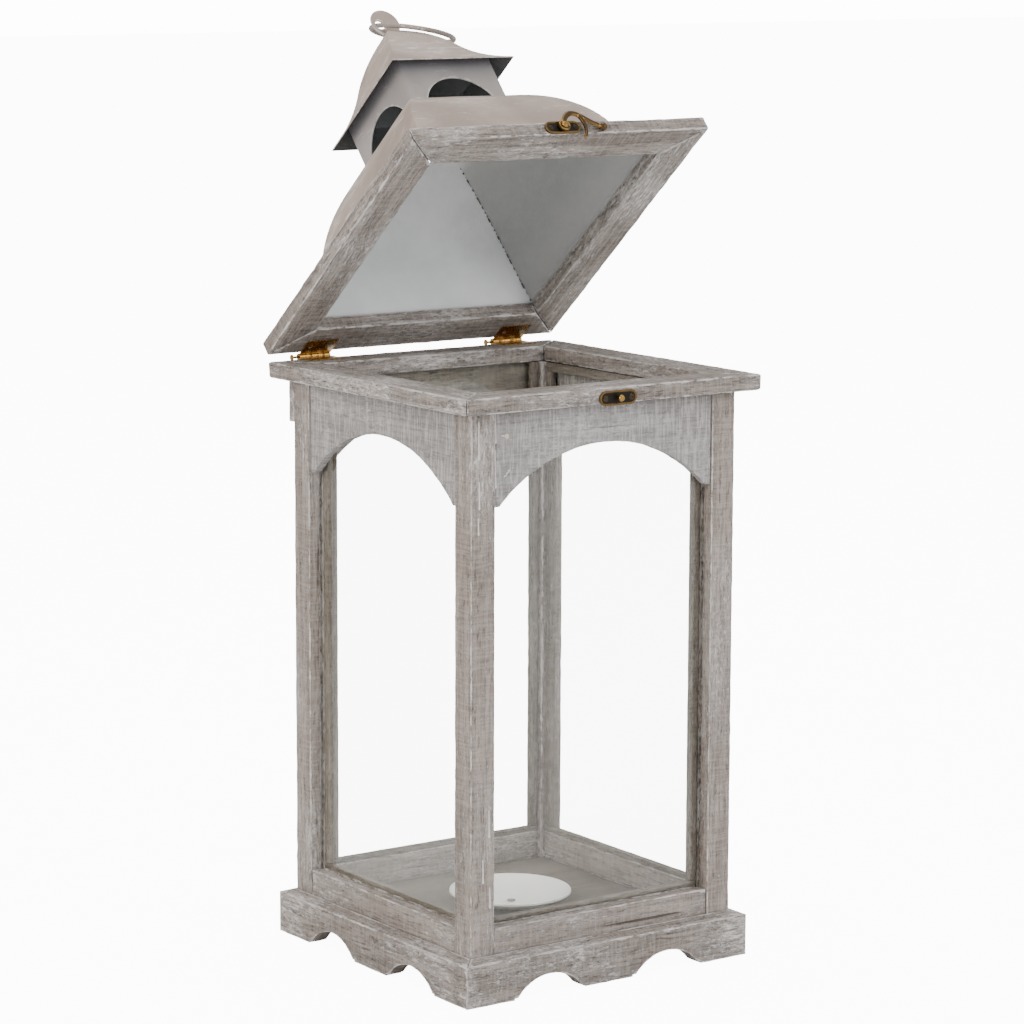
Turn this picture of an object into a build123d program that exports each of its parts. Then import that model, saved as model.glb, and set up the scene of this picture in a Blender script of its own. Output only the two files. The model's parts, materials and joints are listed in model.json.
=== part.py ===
from build123d import *
import math
import os

# Wooden lantern with four glass panes, a hinged sheet-metal roof and a hanging ring.
# Millimetres.  X runs along the latch face, -Y is the latch face, +Y the hinge side, +Z up.
# The origin is the centre of the base, on the ground.  The lid is modelled shut and then
# turned about its hinge by LID_OPEN, the angle at which it is stored.

# Driving dimensions of the case
BODY_HALF = 100.0            # outer face of the posts
POST = 18.0                  # post section
PLINTH_HALF = 108.0          # outer face of the plinth boards
PLINTH_BOARD = 12.0          # plinth board thickness
PLINTH_TOP = 26.6            # level on which posts and rails stand
LEDGE_RISE = 3.0             # the plinth's sloping top, from its outer edge to the body wall
RAIL_TOP = 45.5              # top of the bottom rails
CAP_HALF = 111.6             # outer edge of the cap ring, and of the lid frame
CAP_Z0 = 363.3               # underside of the cap ring
CAP_Z1 = 373.8               # top of the cap ring
OPENING_HALF = 85.8          # inner edge of the cap ring and of the lid frame
FACE_INSET = 0.6             # rails lie this far behind the posts' faces
RIM_ROUND = 1.2              # worn outer edges of the cap ring and the lid frame
POST_CHAMFER = 0.7
RAIL_ROUND = 1.5
FLOOR_THICK = 6.0
BATTEN_THICK = 6.0
BATTEN_Z0 = 335.0
CLEAR = 2.0                  # how far a cutting tool stands beyond what it cuts
FAR = 200.0                  # beyond the lantern's own half width

# Plinth: scallops, and the worn nose of its sloping top
SCALLOP_X = 45.2             # middle of each scallop, from the middle of its board
SCALLOP_HALF = 26.2          # half width on the ground
SCALLOP_TOE = (24.2, 1.3)    # middle of the round toe
SCALLOP_FLARE = (21.5, 4.2)  # where the toe meets the arch
SCALLOP_CROWN = 12.8
NOSE = [(1.6, 0.9), (0.4, 0.1), (0.0, -1.2)]   # in from the face, up from PLINTH_TOP

# Aprons
APRON_INSET = 1.2            # behind the posts' faces
APRON_THICK = 6.4
APRON_TIP_Z = 305.0
APRON_CROWN_Z = 338.0
APRON_TIP_FLAT = 4.0

# Nails of the frame
PLINTH_NAIL_X = 102.0
PLINTH_NAIL_Z = (5.0, 17.0)
POST_NAIL_X = 91.5
POST_NAIL_Z = 52.5

# Driving dimensions of the lid
LID_OPEN = 40.8              # stored opening angle, degrees
LEAF_GAP = 1.6               # cap top to lid underside when shut
LID_THICK = 9.8
SHEET = 0.8                  # sheet metal of the roof, chimney and chimney cap
PIVOT_Y = CAP_HALF + 3.0
PIVOT_Z = CAP_Z1 + LEAF_GAP / 2
LID_Z0 = CAP_Z1 + LEAF_GAP   # underside of the shut lid
LID_Z1 = LID_Z0 + LID_THICK  # top of the lid frame

# Glazing
GLASS = 2.0
GLASS_MID = BODY_HALF - 10.0
GROOVE = 2.4
GROOVE_DEPTH = 3.0
BEAD_FRONT = GLASS_MID - GROOVE / 2
BEAD_BACK = 84.6
BEAD_WIDE = 6.0
BEAD_GAP = 0.6               # shadow gap between bead and post
BEAD_RISE = 3.6              # height of the bottom bead over the rail
PANE_PLAY = 0.3              # play of a pane in its grooves and under the cap

# Candle plate
DISH_THICK = 1.3
DISH_SEAT = 11.0             # radius of the flat seat
DISH_RIM = (38.5, 8.4)       # radius and height of the outer rim
DISH_SIDE = (28.0, 3.15)     # on the underside's curve
DISH_SIDE_TOP = (27.4, 4.45)
DISH_ROLL = (-0.1, 1.0)      # round of the rim, from DISH_RIM
DISH_LIP = (-1.1, 1.1)       # inner end of the rim's round, from DISH_RIM
DISH_HOLE_R = 1.6
DISH_SCREW_RISE = 2.3        # top of the screw over the floor

SIDES = {"front": 0, "right": 90, "back": 180, "left": 270}
CORNERS = {"front_left": 0, "front_right": 90, "back_right": 180, "back_left": 270}
POST_IN = BODY_HALF - POST   # inner faces of the posts


def block(x0, x1, y0, y1, z0, z1):
    """Box between two opposite corners."""
    centre = Pos((x0 + x1) / 2, (y0 + y1) / 2, (z0 + z1) / 2)
    return centre * Box(x1 - x0, y1 - y0, z1 - z0)


def upright(sketch, y_front, depth):
    """A sketch drawn as (x, z), given a depth in +Y from y_front."""
    return Pos(0, y_front + depth, 0) * Rot(90, 0, 0) * extrude(sketch, amount=depth)


def along_y(radius, length, x, y_front, z):
    """Round bar along Y."""
    return Pos(x, y_front + length / 2, z) * Rot(90, 0, 0) * Cylinder(radius, length)


def along_x(radius, x0, x1, y, z):
    """Round bar along X."""
    return Pos((x0 + x1) / 2, y, z) * Rot(0, 90, 0) * Cylinder(radius, x1 - x0)


def side_copies(name, shape, nodes):
    """Copy the front piece to all four sides."""
    for side, angle in SIDES.items():
        nodes[f"{name}_{side}"] = Rot(0, 0, angle) * shape


def quarter(size):
    """Plan wedge that holds the front quarter of a square frame, for mitred joints."""
    outline = Polyline((0, 0), (-size, -size), (size, -size), close=True)
    return extrude(make_face(outline), amount=size * 4)


def mitred_rail(outer, inner, z0, z1, edge_radius):
    """Front rail of a square frame, mitred at both ends, with worn outer edges."""
    rail = block(-outer, outer, -outer, -inner, z0, z1) & quarter(outer + FAR)
    edges = rail.edges().filter_by(Axis.X).sort_by(Axis.Y)[:2]
    return fillet(edges, edge_radius)


def screw(x, y, z, axis_turn, head=2.0, shank=1.0, sink=0.7, length=8.0):
    """Countersunk screw: head face at the point, shank along -Z before axis_turn."""
    cone = Pos(0, 0, -sink / 2) * Cone(shank, head, sink)
    body = Pos(0, 0, -sink - (length - sink) / 2) * Cylinder(shank, length - sink)
    return Pos(x, y, z) * axis_turn * (cone + body)


def nail(x, y, z, axis_turn, head=1.1, shank=0.7, length=12.0):
    """Small nail: flat head standing 0.3 proud of the point, shank along -Z before axis_turn."""
    top = Pos(0, 0, -0.1) * Cylinder(head, 0.8)
    body = Pos(0, 0, -length / 2) * Cylinder(shank, length)
    return Pos(x, y, z) * axis_turn * (top + body)


# --- plinth -------------------------------------------------------------------------------
def scallop(centre):
    """One arch of the plinth's lower edge: a round arch that flares out into its feet."""
    left, right = centre - SCALLOP_HALF, centre + SCALLOP_HALF
    flare_left = (centre - SCALLOP_FLARE[0], SCALLOP_FLARE[1])
    flare_right = (centre + SCALLOP_FLARE[0], SCALLOP_FLARE[1])
    toe_left = (centre - SCALLOP_TOE[0], SCALLOP_TOE[1])
    toe_right = (centre + SCALLOP_TOE[0], SCALLOP_TOE[1])
    arch = Polyline((left, -CLEAR), (left, 0))
    arch += ThreePointArc((left, 0), toe_left, flare_left)
    arch += ThreePointArc(flare_left, (centre, SCALLOP_CROWN), flare_right)
    arch += ThreePointArc(flare_right, toe_right, (right, 0))
    arch += Polyline((right, 0), (right, -CLEAR), (left, -CLEAR))
    return upright(make_face(arch), -PLINTH_HALF - CLEAR, PLINTH_BOARD + 2 * CLEAR)


def plinth_board():
    """Front plinth board: mitred, scalloped, with a sloping top and a step for the posts."""
    inner = PLINTH_HALF - PLINTH_BOARD
    nose = [(-PLINTH_HALF + inward, PLINTH_TOP + up) for inward, up in NOSE]
    section = Polyline(
        (-PLINTH_HALF, 0),
        (-inner, 0),
        (-inner, PLINTH_TOP),
        (-BODY_HALF, PLINTH_TOP),
        (-BODY_HALF, PLINTH_TOP + LEDGE_RISE),
        *nose,
        close=True,
    )
    run = extrude(Plane.YZ * make_face(section), amount=PLINTH_HALF, both=True)
    board = run & quarter(PLINTH_HALF + FAR)
    for centre in (-SCALLOP_X, SCALLOP_X):
        board -= scallop(centre)
    return board


# --- case frame ---------------------------------------------------------------------------
def post():
    """Front left post with a glass groove in each inner face."""
    shape = block(-BODY_HALF, -POST_IN, -BODY_HALF, -POST_IN, PLINTH_TOP, CAP_Z0)
    shape = chamfer(shape.edges().filter_by(Axis.Z), POST_CHAMFER)
    g0 = -GLASS_MID - GROOVE / 2
    g1 = -GLASS_MID + GROOVE / 2
    deep = -POST_IN - GROOVE_DEPTH
    low, high, mouth = PLINTH_TOP - CLEAR, CAP_Z0 + CLEAR, -POST_IN + CLEAR
    shape -= block(deep, mouth, g0, g1, low, high)
    shape -= block(g0, g1, deep, mouth, low, high)
    return shape


def bottom_rail():
    """Front bottom rail between two posts, grooved for the glass."""
    front = -BODY_HALF + FACE_INSET
    rail = block(-POST_IN, POST_IN, front, -BEAD_BACK, PLINTH_TOP, RAIL_TOP)
    edge = rail.edges().filter_by(Axis.X).group_by(Axis.Z)[-1].sort_by(Axis.Y)[0]
    rail = fillet(edge, RAIL_ROUND)
    end = POST_IN + CLEAR
    groove = block(-end, end, -GLASS_MID - GROOVE / 2, -GLASS_MID + GROOVE / 2,
                   RAIL_TOP - GROOVE_DEPTH, RAIL_TOP + CLEAR)
    return rail - groove


def apron():
    """Front apron: a board under the cap with a wide arch and small flats at its tips."""
    tip_x = POST_IN - APRON_TIP_FLAT
    left, right = (-tip_x, APRON_TIP_Z), (tip_x, APRON_TIP_Z)
    outline = Polyline(left, (-POST_IN, APRON_TIP_Z), (-POST_IN, CAP_Z0), (POST_IN, CAP_Z0),
                       (POST_IN, APRON_TIP_Z), right)
    outline += ThreePointArc(right, (0, APRON_CROWN_Z), left)
    return upright(make_face(outline), -BODY_HALF + APRON_INSET, APRON_THICK)


def glass_pane():
    """Front pane, set in the grooves of the posts and the bottom rail."""
    half = POST_IN + GROOVE_DEPTH - PANE_PLAY
    return block(-half, half, -GLASS_MID - GLASS / 2, -GLASS_MID + GLASS / 2,
                 RAIL_TOP - GROOVE_DEPTH, CAP_Z0 - PANE_PLAY)


def glazing_beads(with_top):
    """The strips that hold one pane from inside: a bottom strip, two uprights, maybe a top one."""
    outer = POST_IN - BEAD_GAP
    low = RAIL_TOP + BEAD_RISE
    high = CAP_Z0 - BEAD_WIDE if with_top else CAP_Z0
    strips = [block(-outer, outer, -BEAD_FRONT, -BEAD_BACK, RAIL_TOP, low)]
    for side in (-1, 1):
        x0, x1 = sorted((side * (outer - BEAD_WIDE), side * outer))
        strips.append(block(x0, x1, -BEAD_FRONT, -BEAD_BACK, low, high))
    if with_top:
        strips.append(block(-outer, outer, -BEAD_FRONT, -BEAD_BACK, high, CAP_Z0))
    return Compound(children=strips)


def candle_plate():
    """Round dished plate: flat seat, curved side and a soft rim."""
    roll = (DISH_RIM[0] + DISH_ROLL[0], DISH_RIM[1] + DISH_ROLL[1])
    lip = (DISH_RIM[0] + DISH_LIP[0], DISH_RIM[1] + DISH_LIP[1])
    section = Polyline((0, 0), (DISH_SEAT, 0))
    section += ThreePointArc((DISH_SEAT, 0), DISH_SIDE, DISH_RIM)
    section += ThreePointArc(DISH_RIM, roll, lip)
    section += ThreePointArc(lip, DISH_SIDE_TOP, (DISH_SEAT, DISH_THICK))
    section += Polyline((DISH_SEAT, DISH_THICK), (0, DISH_THICK), (0, 0))
    dish = revolve(Rot(90, 0, 0) * make_face(section), axis=Axis.Z)
    return Pos(0, 0, PLINTH_TOP) * (dish - Cylinder(DISH_HOLE_R, FAR))


# --- hinges -------------------------------------------------------------------------------
HINGE_X = 75.5
HINGE_HALF = 11.6
KNUCKLE_R = 2.3
PIN_R = 0.75
LEAF = 0.7
LEAF_LONG = 14.0
LEAF_EDGE = 0.3              # the leaf ends this far beyond the cap's edge
KNUCKLES = 5
KNUCKLE_GAP = 0.1            # taken off each end of a knuckle
LOOSE = 0.06                 # radial play of a turning piece on its pin
PIN_OUT = 4.4                # how far the loose pin stands out on the left
PIN_END = 0.4                # and on the right
PIN_HEAD_R = 1.9
PIN_HEAD = 0.8
HINGE_SCREW_X = 7.0          # from the middle of the hinge
HINGE_SCREW_IN = 7.5         # in from the cap's edge


def hinge_leaf(x, owner, case_side):
    """One leaf with its share of the knuckles; owner picks the even or the odd ones."""
    z0 = CAP_Z1 if case_side else LID_Z0 - LEAF
    y1 = CAP_HALF + LEAF_EDGE
    leaf = block(x - HINGE_HALF, x + HINGE_HALF, y1 - LEAF_LONG, y1, z0, z0 + LEAF)
    pitch = 2 * HINGE_HALF / KNUCKLES
    for i in range(owner, KNUCKLES, 2):
        a = x - HINGE_HALF + i * pitch + KNUCKLE_GAP
        b = a + pitch - 2 * KNUCKLE_GAP
        leaf += block(a, b, y1 - CLEAR, PIVOT_Y, z0, z0 + LEAF)
        leaf += along_x(KNUCKLE_R, a, b, PIVOT_Y, PIVOT_Z)
    hole = PIN_R if case_side else PIN_R + LOOSE
    end = HINGE_HALF + CLEAR
    return leaf - along_x(hole, x - end, x + end, PIVOT_Y, PIVOT_Z)


def hinge_pin(x):
    """Loose pin whose head stands a little out of the barrel on the left."""
    left = x - HINGE_HALF - PIN_OUT
    pin = along_x(PIN_R, left, x + HINGE_HALF + PIN_END, PIVOT_Y, PIVOT_Z)
    return pin + along_x(PIN_HEAD_R, left - PIN_HEAD, left, PIVOT_Y, PIVOT_Z)


def hinge_screws(case_side):
    """Two screws for each leaf."""
    z = CAP_Z1 + LEAF if case_side else LID_Z0 - LEAF
    turn = Rot(0, 0, 0) if case_side else Rot(180, 0, 0)
    offsets = (-HINGE_SCREW_X, HINGE_SCREW_X)
    spots = [hinge * HINGE_X + dx for hinge in (-1, 1) for dx in offsets]
    return Compound(children=[screw(x, CAP_HALF - HINGE_SCREW_IN, z, turn) for x in spots])


# --- latch --------------------------------------------------------------------------------
LATCH_X = -0.6
PLATE_THICK = 1.2
KEEPER_Z = 367.1
HOOK_Z = LID_Z0 + 4.6
HOOK_BACK = 1.9              # back of the hook in front of the cap's face
HOOK_THICK = 2.2
RIVET_R = 1.2
STUD_R = 1.0
STUD_REACH = HOOK_Z - KEEPER_Z
KEEPER_SIZE = (27.7, 9.2)
KEEPER_SCREW_X = 9.8
HOOK_PLATE_SIZE = (26.0, 9.0)
HOOK_SCREW_X = 9.6
PLATE_RIM = 0.9              # width of the raised rim
PLATE_RIM_RISE = 0.5
PLATE_RIM_ROOT = 0.1         # how deep the rim is sunk in the plate
STUD_HEAD_R = 2.2
STUD_HEAD = 1.1
STUD_GAP = 0.3               # play between the hook and the stud's head
RIVET_BALL_R = 2.4
RIVET_HEAD = 1.1
RIVET_GAP = 0.2
HOOK_EYE_R = 4.0
HOOK_NECK = [(-1.0, 2.6), (4.5, 7.6), (11.0, 8.4), (18.5, 3.4), (27.0, -1.8)]
HOOK_NECK_WIDE = 3.0
HOOK_LIP = 1.1               # room between the stud and the middle of the tongue's tip
TONGUE_ROOT = (14.6, 6.2)
TONGUE_MIDDLE = (15.3, -2.4)
TONGUE_WIDE = 1.9
TONGUE_TIP_TURN = -42.0      # degrees below the plate's line
HOOK_BALL = (28.2, -2.3)
HOOK_BALL_R = 2.3


def obround_plate(size, z):
    """Plate with round ends and a raised rim, on the front face."""
    length, width = size
    face = -CAP_HALF - PLATE_THICK
    base = upright(SlotOverall(length, width), face, PLATE_THICK)
    edge = SlotOverall(length, width) - SlotOverall(length - 2 * PLATE_RIM, width - 2 * PLATE_RIM)
    rim = upright(edge, face - PLATE_RIM_RISE, PLATE_RIM_RISE + PLATE_RIM_ROOT)
    return Pos(LATCH_X, 0, z) * (base + rim)


def plate_screws(spread, z):
    """Two screws through a latch plate into the wood."""
    face = -CAP_HALF - PLATE_THICK
    spots = (LATCH_X - spread, LATCH_X + spread)
    turn = Rot(90, 0, 0)
    return Compound(children=[screw(x, face, z, turn, head=1.9, shank=0.9) for x in spots])


def keeper():
    """Plate on the cap with a headed stud."""
    plate = obround_plate(KEEPER_SIZE, KEEPER_Z)
    face = -CAP_HALF - PLATE_THICK
    neck_end = -CAP_HALF - HOOK_BACK - HOOK_THICK - STUD_GAP
    plate += along_y(STUD_R, face - neck_end, LATCH_X, neck_end, KEEPER_Z)
    return plate + along_y(STUD_HEAD_R, STUD_HEAD, LATCH_X, neck_end - STUD_HEAD, KEEPER_Z)


def hook():
    """Swan-necked hook, drawn about its rivet in the stored position."""
    reach = STUD_REACH + STUD_R + HOOK_LIP
    turn = math.radians(TONGUE_TIP_TURN)
    tip = (reach * math.cos(turn), reach * math.sin(turn))
    tongue = ThreePointArc(TONGUE_ROOT, TONGUE_MIDDLE, tip)
    flat = Circle(HOOK_EYE_R) + trace(Spline(*HOOK_NECK), HOOK_NECK_WIDE)
    flat += trace(tongue, TONGUE_WIDE) + Pos(*tip) * Circle(TONGUE_WIDE / 2)
    body = upright(flat, 0, HOOK_THICK)
    body += Pos(HOOK_BALL[0], HOOK_THICK / 2, HOOK_BALL[1]) * Sphere(HOOK_BALL_R)
    body -= along_y(RIVET_R + LOOSE, HOOK_THICK + 2 * CLEAR, 0, -CLEAR, 0)
    return Pos(LATCH_X, -CAP_HALF - HOOK_BACK - HOOK_THICK, HOOK_Z) * body


def latch_rivet():
    """Headed rivet that carries the hook."""
    face = -CAP_HALF - PLATE_THICK
    head_back = -CAP_HALF - HOOK_BACK - HOOK_THICK - RIVET_GAP
    shank = along_y(RIVET_R, face - head_back, LATCH_X, head_back, HOOK_Z)
    wide = RIVET_BALL_R + CLEAR
    dome = Sphere(RIVET_BALL_R) & block(-wide, wide, -RIVET_HEAD, 0, -wide, wide)
    return shank + Pos(LATCH_X, head_back, HOOK_Z) * dome


# --- sheet-metal roof ---------------------------------------------------------------------
# Half side view of the roof, from its top to its foot: half width and height over the lid's
# underside, then the share of the sheet's thickness by which the inner skin lies further in.
ROOF_LINE = [(38.0, 87.3), (59.0, 67.0), (72.5, 40.4), (78.0, 24.3), (86.5, 10.0)]
ROOF_SHARES = [(0.55, 1.0), (0.8, 0.6), (0.95, 0.3), (0.95, 0.3), (1.15, 0.0)]
ROOF_SPREAD = 2.6            # how far the skin runs out below its foot
FLANGE_HALF = 95.5
FLANGE_IN = 86.2
FLUE_HALF = 31.0
CHIMNEY_HALF = 37.0
CHIMNEY_CORNER = 4.0
CHIMNEY_TALL = 45.0
VENT_R = 27.8
VENT_Z = 75.4
CAP_LINE = [(5.0, 168.0), (17.6, 153.6), (26.5, 137.5), (34.8, 123.9), (47.0, 111.6)]
CAP_SHARES = [(0.4, 1.3), (0.85, 0.6), (0.88, 0.5), (0.8, 0.65), (0.7, 0.7)]
CAP_SPREAD = 3.4
SKIRT = 4.0                  # the skins are drawn this far below their foot, then trimmed
ROOF_NAIL_X = (-70.0, 0.0, 70.0)
ROOF_NAIL_LINE = 91.2


def square_solid(half_outline):
    """Solid of square section whose side view is the outline mirrored about Z."""
    face = make_face(half_outline)
    face += mirror(face, Plane.YZ)
    one_way = extrude(Rot(90, 0, 0) * face, amount=FAR, both=True)
    return one_way & (Rot(0, 0, 90) * one_way)


def curved_outline(points, shares, shrink, spread):
    """Half side view through five points: two arcs, closed by a skirt below the foot."""
    moved = [(x - shrink * a, z - shrink * b) for (x, z), (a, b) in zip(points, shares)]
    top, foot = moved[0], moved[-1]
    low = foot[1] - SKIRT
    line = Polyline((0, low), (0, top[1]), top)
    line += ThreePointArc(*moved[:3])
    line += ThreePointArc(*moved[2:])
    line += Polyline(foot, (foot[0] + spread, low), (0, low))
    return line


def roof_outline(shrink):
    """Half side view of the roof: round shoulder, then a slight flare at the foot."""
    return curved_outline(ROOF_LINE, ROOF_SHARES, shrink, ROOF_SPREAD)


def cap_outline(shrink):
    """Half side view of the chimney cap: pointed top and flared eaves."""
    return curved_outline(CAP_LINE, CAP_SHARES, shrink, CAP_SPREAD)


def roof_shell():
    """Sheet roof: open below, a nailing flange round its foot, a flue hole in its top."""
    shell = square_solid(roof_outline(0)) - square_solid(roof_outline(SHEET))
    shell &= block(-FAR, FAR, -FAR, FAR, LID_THICK, FAR)
    top = LID_THICK + SHEET
    flange = block(-FLANGE_HALF, FLANGE_HALF, -FLANGE_HALF, FLANGE_HALF, LID_THICK, top)
    flange -= block(-FLANGE_IN, FLANGE_IN, -FLANGE_IN, FLANGE_IN, 0, FAR)
    shell += flange
    shell -= block(-FLUE_HALF, FLUE_HALF, -FLUE_HALF, FLUE_HALF, ROOF_LINE[1][1], FAR)
    return Pos(0, 0, LID_Z0) * shell


def chimney_and_cap():
    """Square chimney with an arched vent in each side, trimmed to the cap that covers it."""
    eave_z = CAP_LINE[-1][1]
    hollow = square_solid(cap_outline(SHEET))
    cap = (square_solid(cap_outline(0)) - hollow) & block(-FAR, FAR, -FAR, FAR, eave_z, FAR)
    side, wall = 2 * CHIMNEY_HALF, 2 * SHEET
    z0 = ROOF_LINE[0][1]
    outer = extrude(RectangleRounded(side, side, CHIMNEY_CORNER), amount=CHIMNEY_TALL)
    inner = extrude(RectangleRounded(side - wall, side - wall, CHIMNEY_CORNER - SHEET),
                    amount=CHIMNEY_TALL)
    pipe = Pos(0, 0, z0) * (outer - inner)
    pipe &= hollow + block(-FAR, FAR, -FAR, FAR, z0, eave_z)
    vent = along_y(VENT_R, 2 * FAR, 0, -FAR, VENT_Z)
    pipe -= vent
    pipe -= Rot(0, 0, 90) * vent
    return Pos(0, 0, LID_Z0) * pipe, Pos(0, 0, LID_Z0) * cap


def roof_nails():
    """Three nails in each side of the roof's flange."""
    nails = []
    top = LID_Z1 + SHEET
    for angle in SIDES.values():
        for x in ROOF_NAIL_X:
            one = nail(x, -ROOF_NAIL_LINE, top, Rot(0, 0, 0), head=1.8, shank=0.8, length=7.0)
            nails.append(Rot(0, 0, angle) * one)
    return Compound(children=nails)


# --- hanging ring -------------------------------------------------------------------------
TAB_THICK = 1.2
TAB_CENTRE = (-0.5, LID_Z0 + 177.7)
TAB_R = 10.5
TAB_HOLE = (-5.3, LID_Z0 + 176.1)
TAB_HOLE_R = 3.5
TAB_FOOT_WIDE = 11.0
RING_R = 27.3                # to the middle of the wire
WIRE_R = 1.65
RING_TO_CENTRE = Vector(0.974, 0.187, -0.129).normalized()
RING_NORMAL = Vector(0.214, -0.570, 0.793).normalized()


def ring_tab():
    """Upright round tab on the chimney cap, pierced for the ring."""
    foot_z = LID_Z0 + CAP_LINE[0][1]
    flat = Pos(*TAB_CENTRE) * Circle(TAB_R)
    foot_mid = (foot_z + TAB_CENTRE[1]) / 2
    flat += Pos(TAB_CENTRE[0], foot_mid) * Rectangle(TAB_FOOT_WIDE, TAB_CENTRE[1] - foot_z)
    flat -= Pos(*TAB_HOLE) * Circle(TAB_HOLE_R)
    tab = upright(flat, -TAB_THICK / 2, TAB_THICK)
    return tab & block(-FAR, FAR, -FAR, FAR, foot_z, foot_z + FAR)


def hanging_ring():
    """Wire ring through the tab, fallen over on the chimney cap."""
    hole = Vector(TAB_HOLE[0], 0, TAB_HOLE[1])
    centre = hole + RING_TO_CENTRE * RING_R
    seat = Plane(origin=centre, x_dir=RING_TO_CENTRE, z_dir=RING_NORMAL)
    return seat.location * Torus(RING_R, WIRE_R)


# --- assembly -----------------------------------------------------------------------------
def frame_nails():
    """Nails at the plinth's corners and through the posts into the bottom rails."""
    nails = []
    for angle in (0, 180):
        for x in (-PLINTH_NAIL_X, PLINTH_NAIL_X):
            for z in PLINTH_NAIL_Z:
                nails.append(Rot(0, 0, angle) * nail(x, -PLINTH_HALF, z, Rot(90, 0, 0)))
        for x in (-POST_NAIL_X, POST_NAIL_X):
            nails.append(Rot(0, 0, angle) * nail(x, -BODY_HALF, POST_NAIL_Z, Rot(90, 0, 0)))
    return Compound(children=nails)


def case_nodes():
    """Every piece that stands still."""
    nodes = {}
    side_copies("plinth_board", plinth_board(), nodes)
    for corner, angle in CORNERS.items():
        nodes[f"post_{corner}"] = Rot(0, 0, angle) * post()
    side_copies("bottom_rail", bottom_rail(), nodes)
    side_copies("apron", apron(), nodes)
    side_copies("glass_pane", glass_pane(), nodes)
    for side, angle in SIDES.items():
        beads = glazing_beads(with_top=side in ("left", "right"))
        nodes[f"glazing_beads_{side}"] = Rot(0, 0, angle) * beads
    rim = mitred_rail(CAP_HALF, OPENING_HALF, CAP_Z0, CAP_Z1, RIM_ROUND)
    side_copies("cap_rail", rim, nodes)
    inner = PLINTH_HALF - PLINTH_BOARD
    nodes["floor_panel"] = block(-inner, inner, -inner, inner, PLINTH_TOP - FLOOR_THICK, PLINTH_TOP)
    nodes["candle_plate"] = candle_plate()
    nodes["candle_plate_screw"] = screw(0, 0, PLINTH_TOP + DISH_SCREW_RISE, Rot(0, 0, 0),
                                        head=2.9, shank=1.45, sink=1.0, length=7.5)
    nodes["rear_batten"] = block(-BODY_HALF, BODY_HALF, BODY_HALF, BODY_HALF + BATTEN_THICK,
                                 BATTEN_Z0, CAP_Z0)
    for name, side in (("left", -1), ("right", 1)):
        nodes[f"hinge_leaf_case_{name}"] = hinge_leaf(side * HINGE_X, 0, True)
        nodes[f"hinge_pin_{name}"] = hinge_pin(side * HINGE_X)
    nodes["hinge_case_screws"] = hinge_screws(True)
    nodes["latch_keeper"] = keeper()
    nodes["keeper_screws"] = plate_screws(KEEPER_SCREW_X, KEEPER_Z)
    nodes["frame_nails"] = frame_nails()
    return nodes


def lid_nodes():
    """Every piece that swings with the lid, shut."""
    nodes = {}
    side_copies("lid_rail", mitred_rail(CAP_HALF, OPENING_HALF, LID_Z0, LID_Z1, RIM_ROUND), nodes)
    nodes["roof_shell"] = roof_shell()
    nodes["chimney"], nodes["chimney_cap"] = chimney_and_cap()
    nodes["ring_tab"] = ring_tab()
    for name, side in (("left", -1), ("right", 1)):
        nodes[f"hinge_leaf_lid_{name}"] = hinge_leaf(side * HINGE_X, 1, False)
    nodes["hinge_lid_screws"] = hinge_screws(False)
    nodes["latch_plate"] = obround_plate(HOOK_PLATE_SIZE, HOOK_Z)
    nodes["latch_screws"] = plate_screws(HOOK_SCREW_X, HOOK_Z)
    nodes["latch_rivet"] = latch_rivet()
    nodes["roof_nails"] = roof_nails()
    nodes["latch_hook"] = hook()
    nodes["hanging_ring"] = hanging_ring()
    return nodes


def bore(nodes, fastener, names):
    """Cut the room for a fastener out of the pieces that it passes through."""
    for name in names:
        for solid in nodes[fastener].solids():
            nodes[name] -= solid


def main():
    """Build every piece and write one file for each."""
    case = case_nodes()
    bore(case, "frame_nails", [n for n in case if n.startswith(("plinth_board", "post"))])
    bore(case, "candle_plate_screw", ["floor_panel"])
    bore(case, "hinge_case_screws", ["cap_rail_back", "hinge_leaf_case_left", "hinge_leaf_case_right"])
    bore(case, "keeper_screws", ["cap_rail_front", "latch_keeper"])
    lid = lid_nodes()
    bore(lid, "roof_nails", ["roof_shell"] + [f"lid_rail_{side}" for side in SIDES])
    bore(lid, "hinge_lid_screws", ["lid_rail_back", "hinge_leaf_lid_left", "hinge_leaf_lid_right"])
    bore(lid, "latch_screws", ["lid_rail_front", "latch_plate"])
    pivot = Axis((0, PIVOT_Y, PIVOT_Z), (-1, 0, 0))
    os.makedirs("parts", exist_ok=True)
    for name, shape in case.items():
        export_step(shape, f"parts/{name}.step")
    for name, shape in lid.items():
        export_step(shape.rotate(pivot, LID_OPEN), f"parts/{name}.step")


main()
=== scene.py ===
import json
import logging
import math
from contextlib import contextmanager
from dataclasses import dataclass, field
from enum import Enum
from typing import Callable, Iterator, Sequence

import bpy
from mathutils import Matrix, Vector, kdtree

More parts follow.
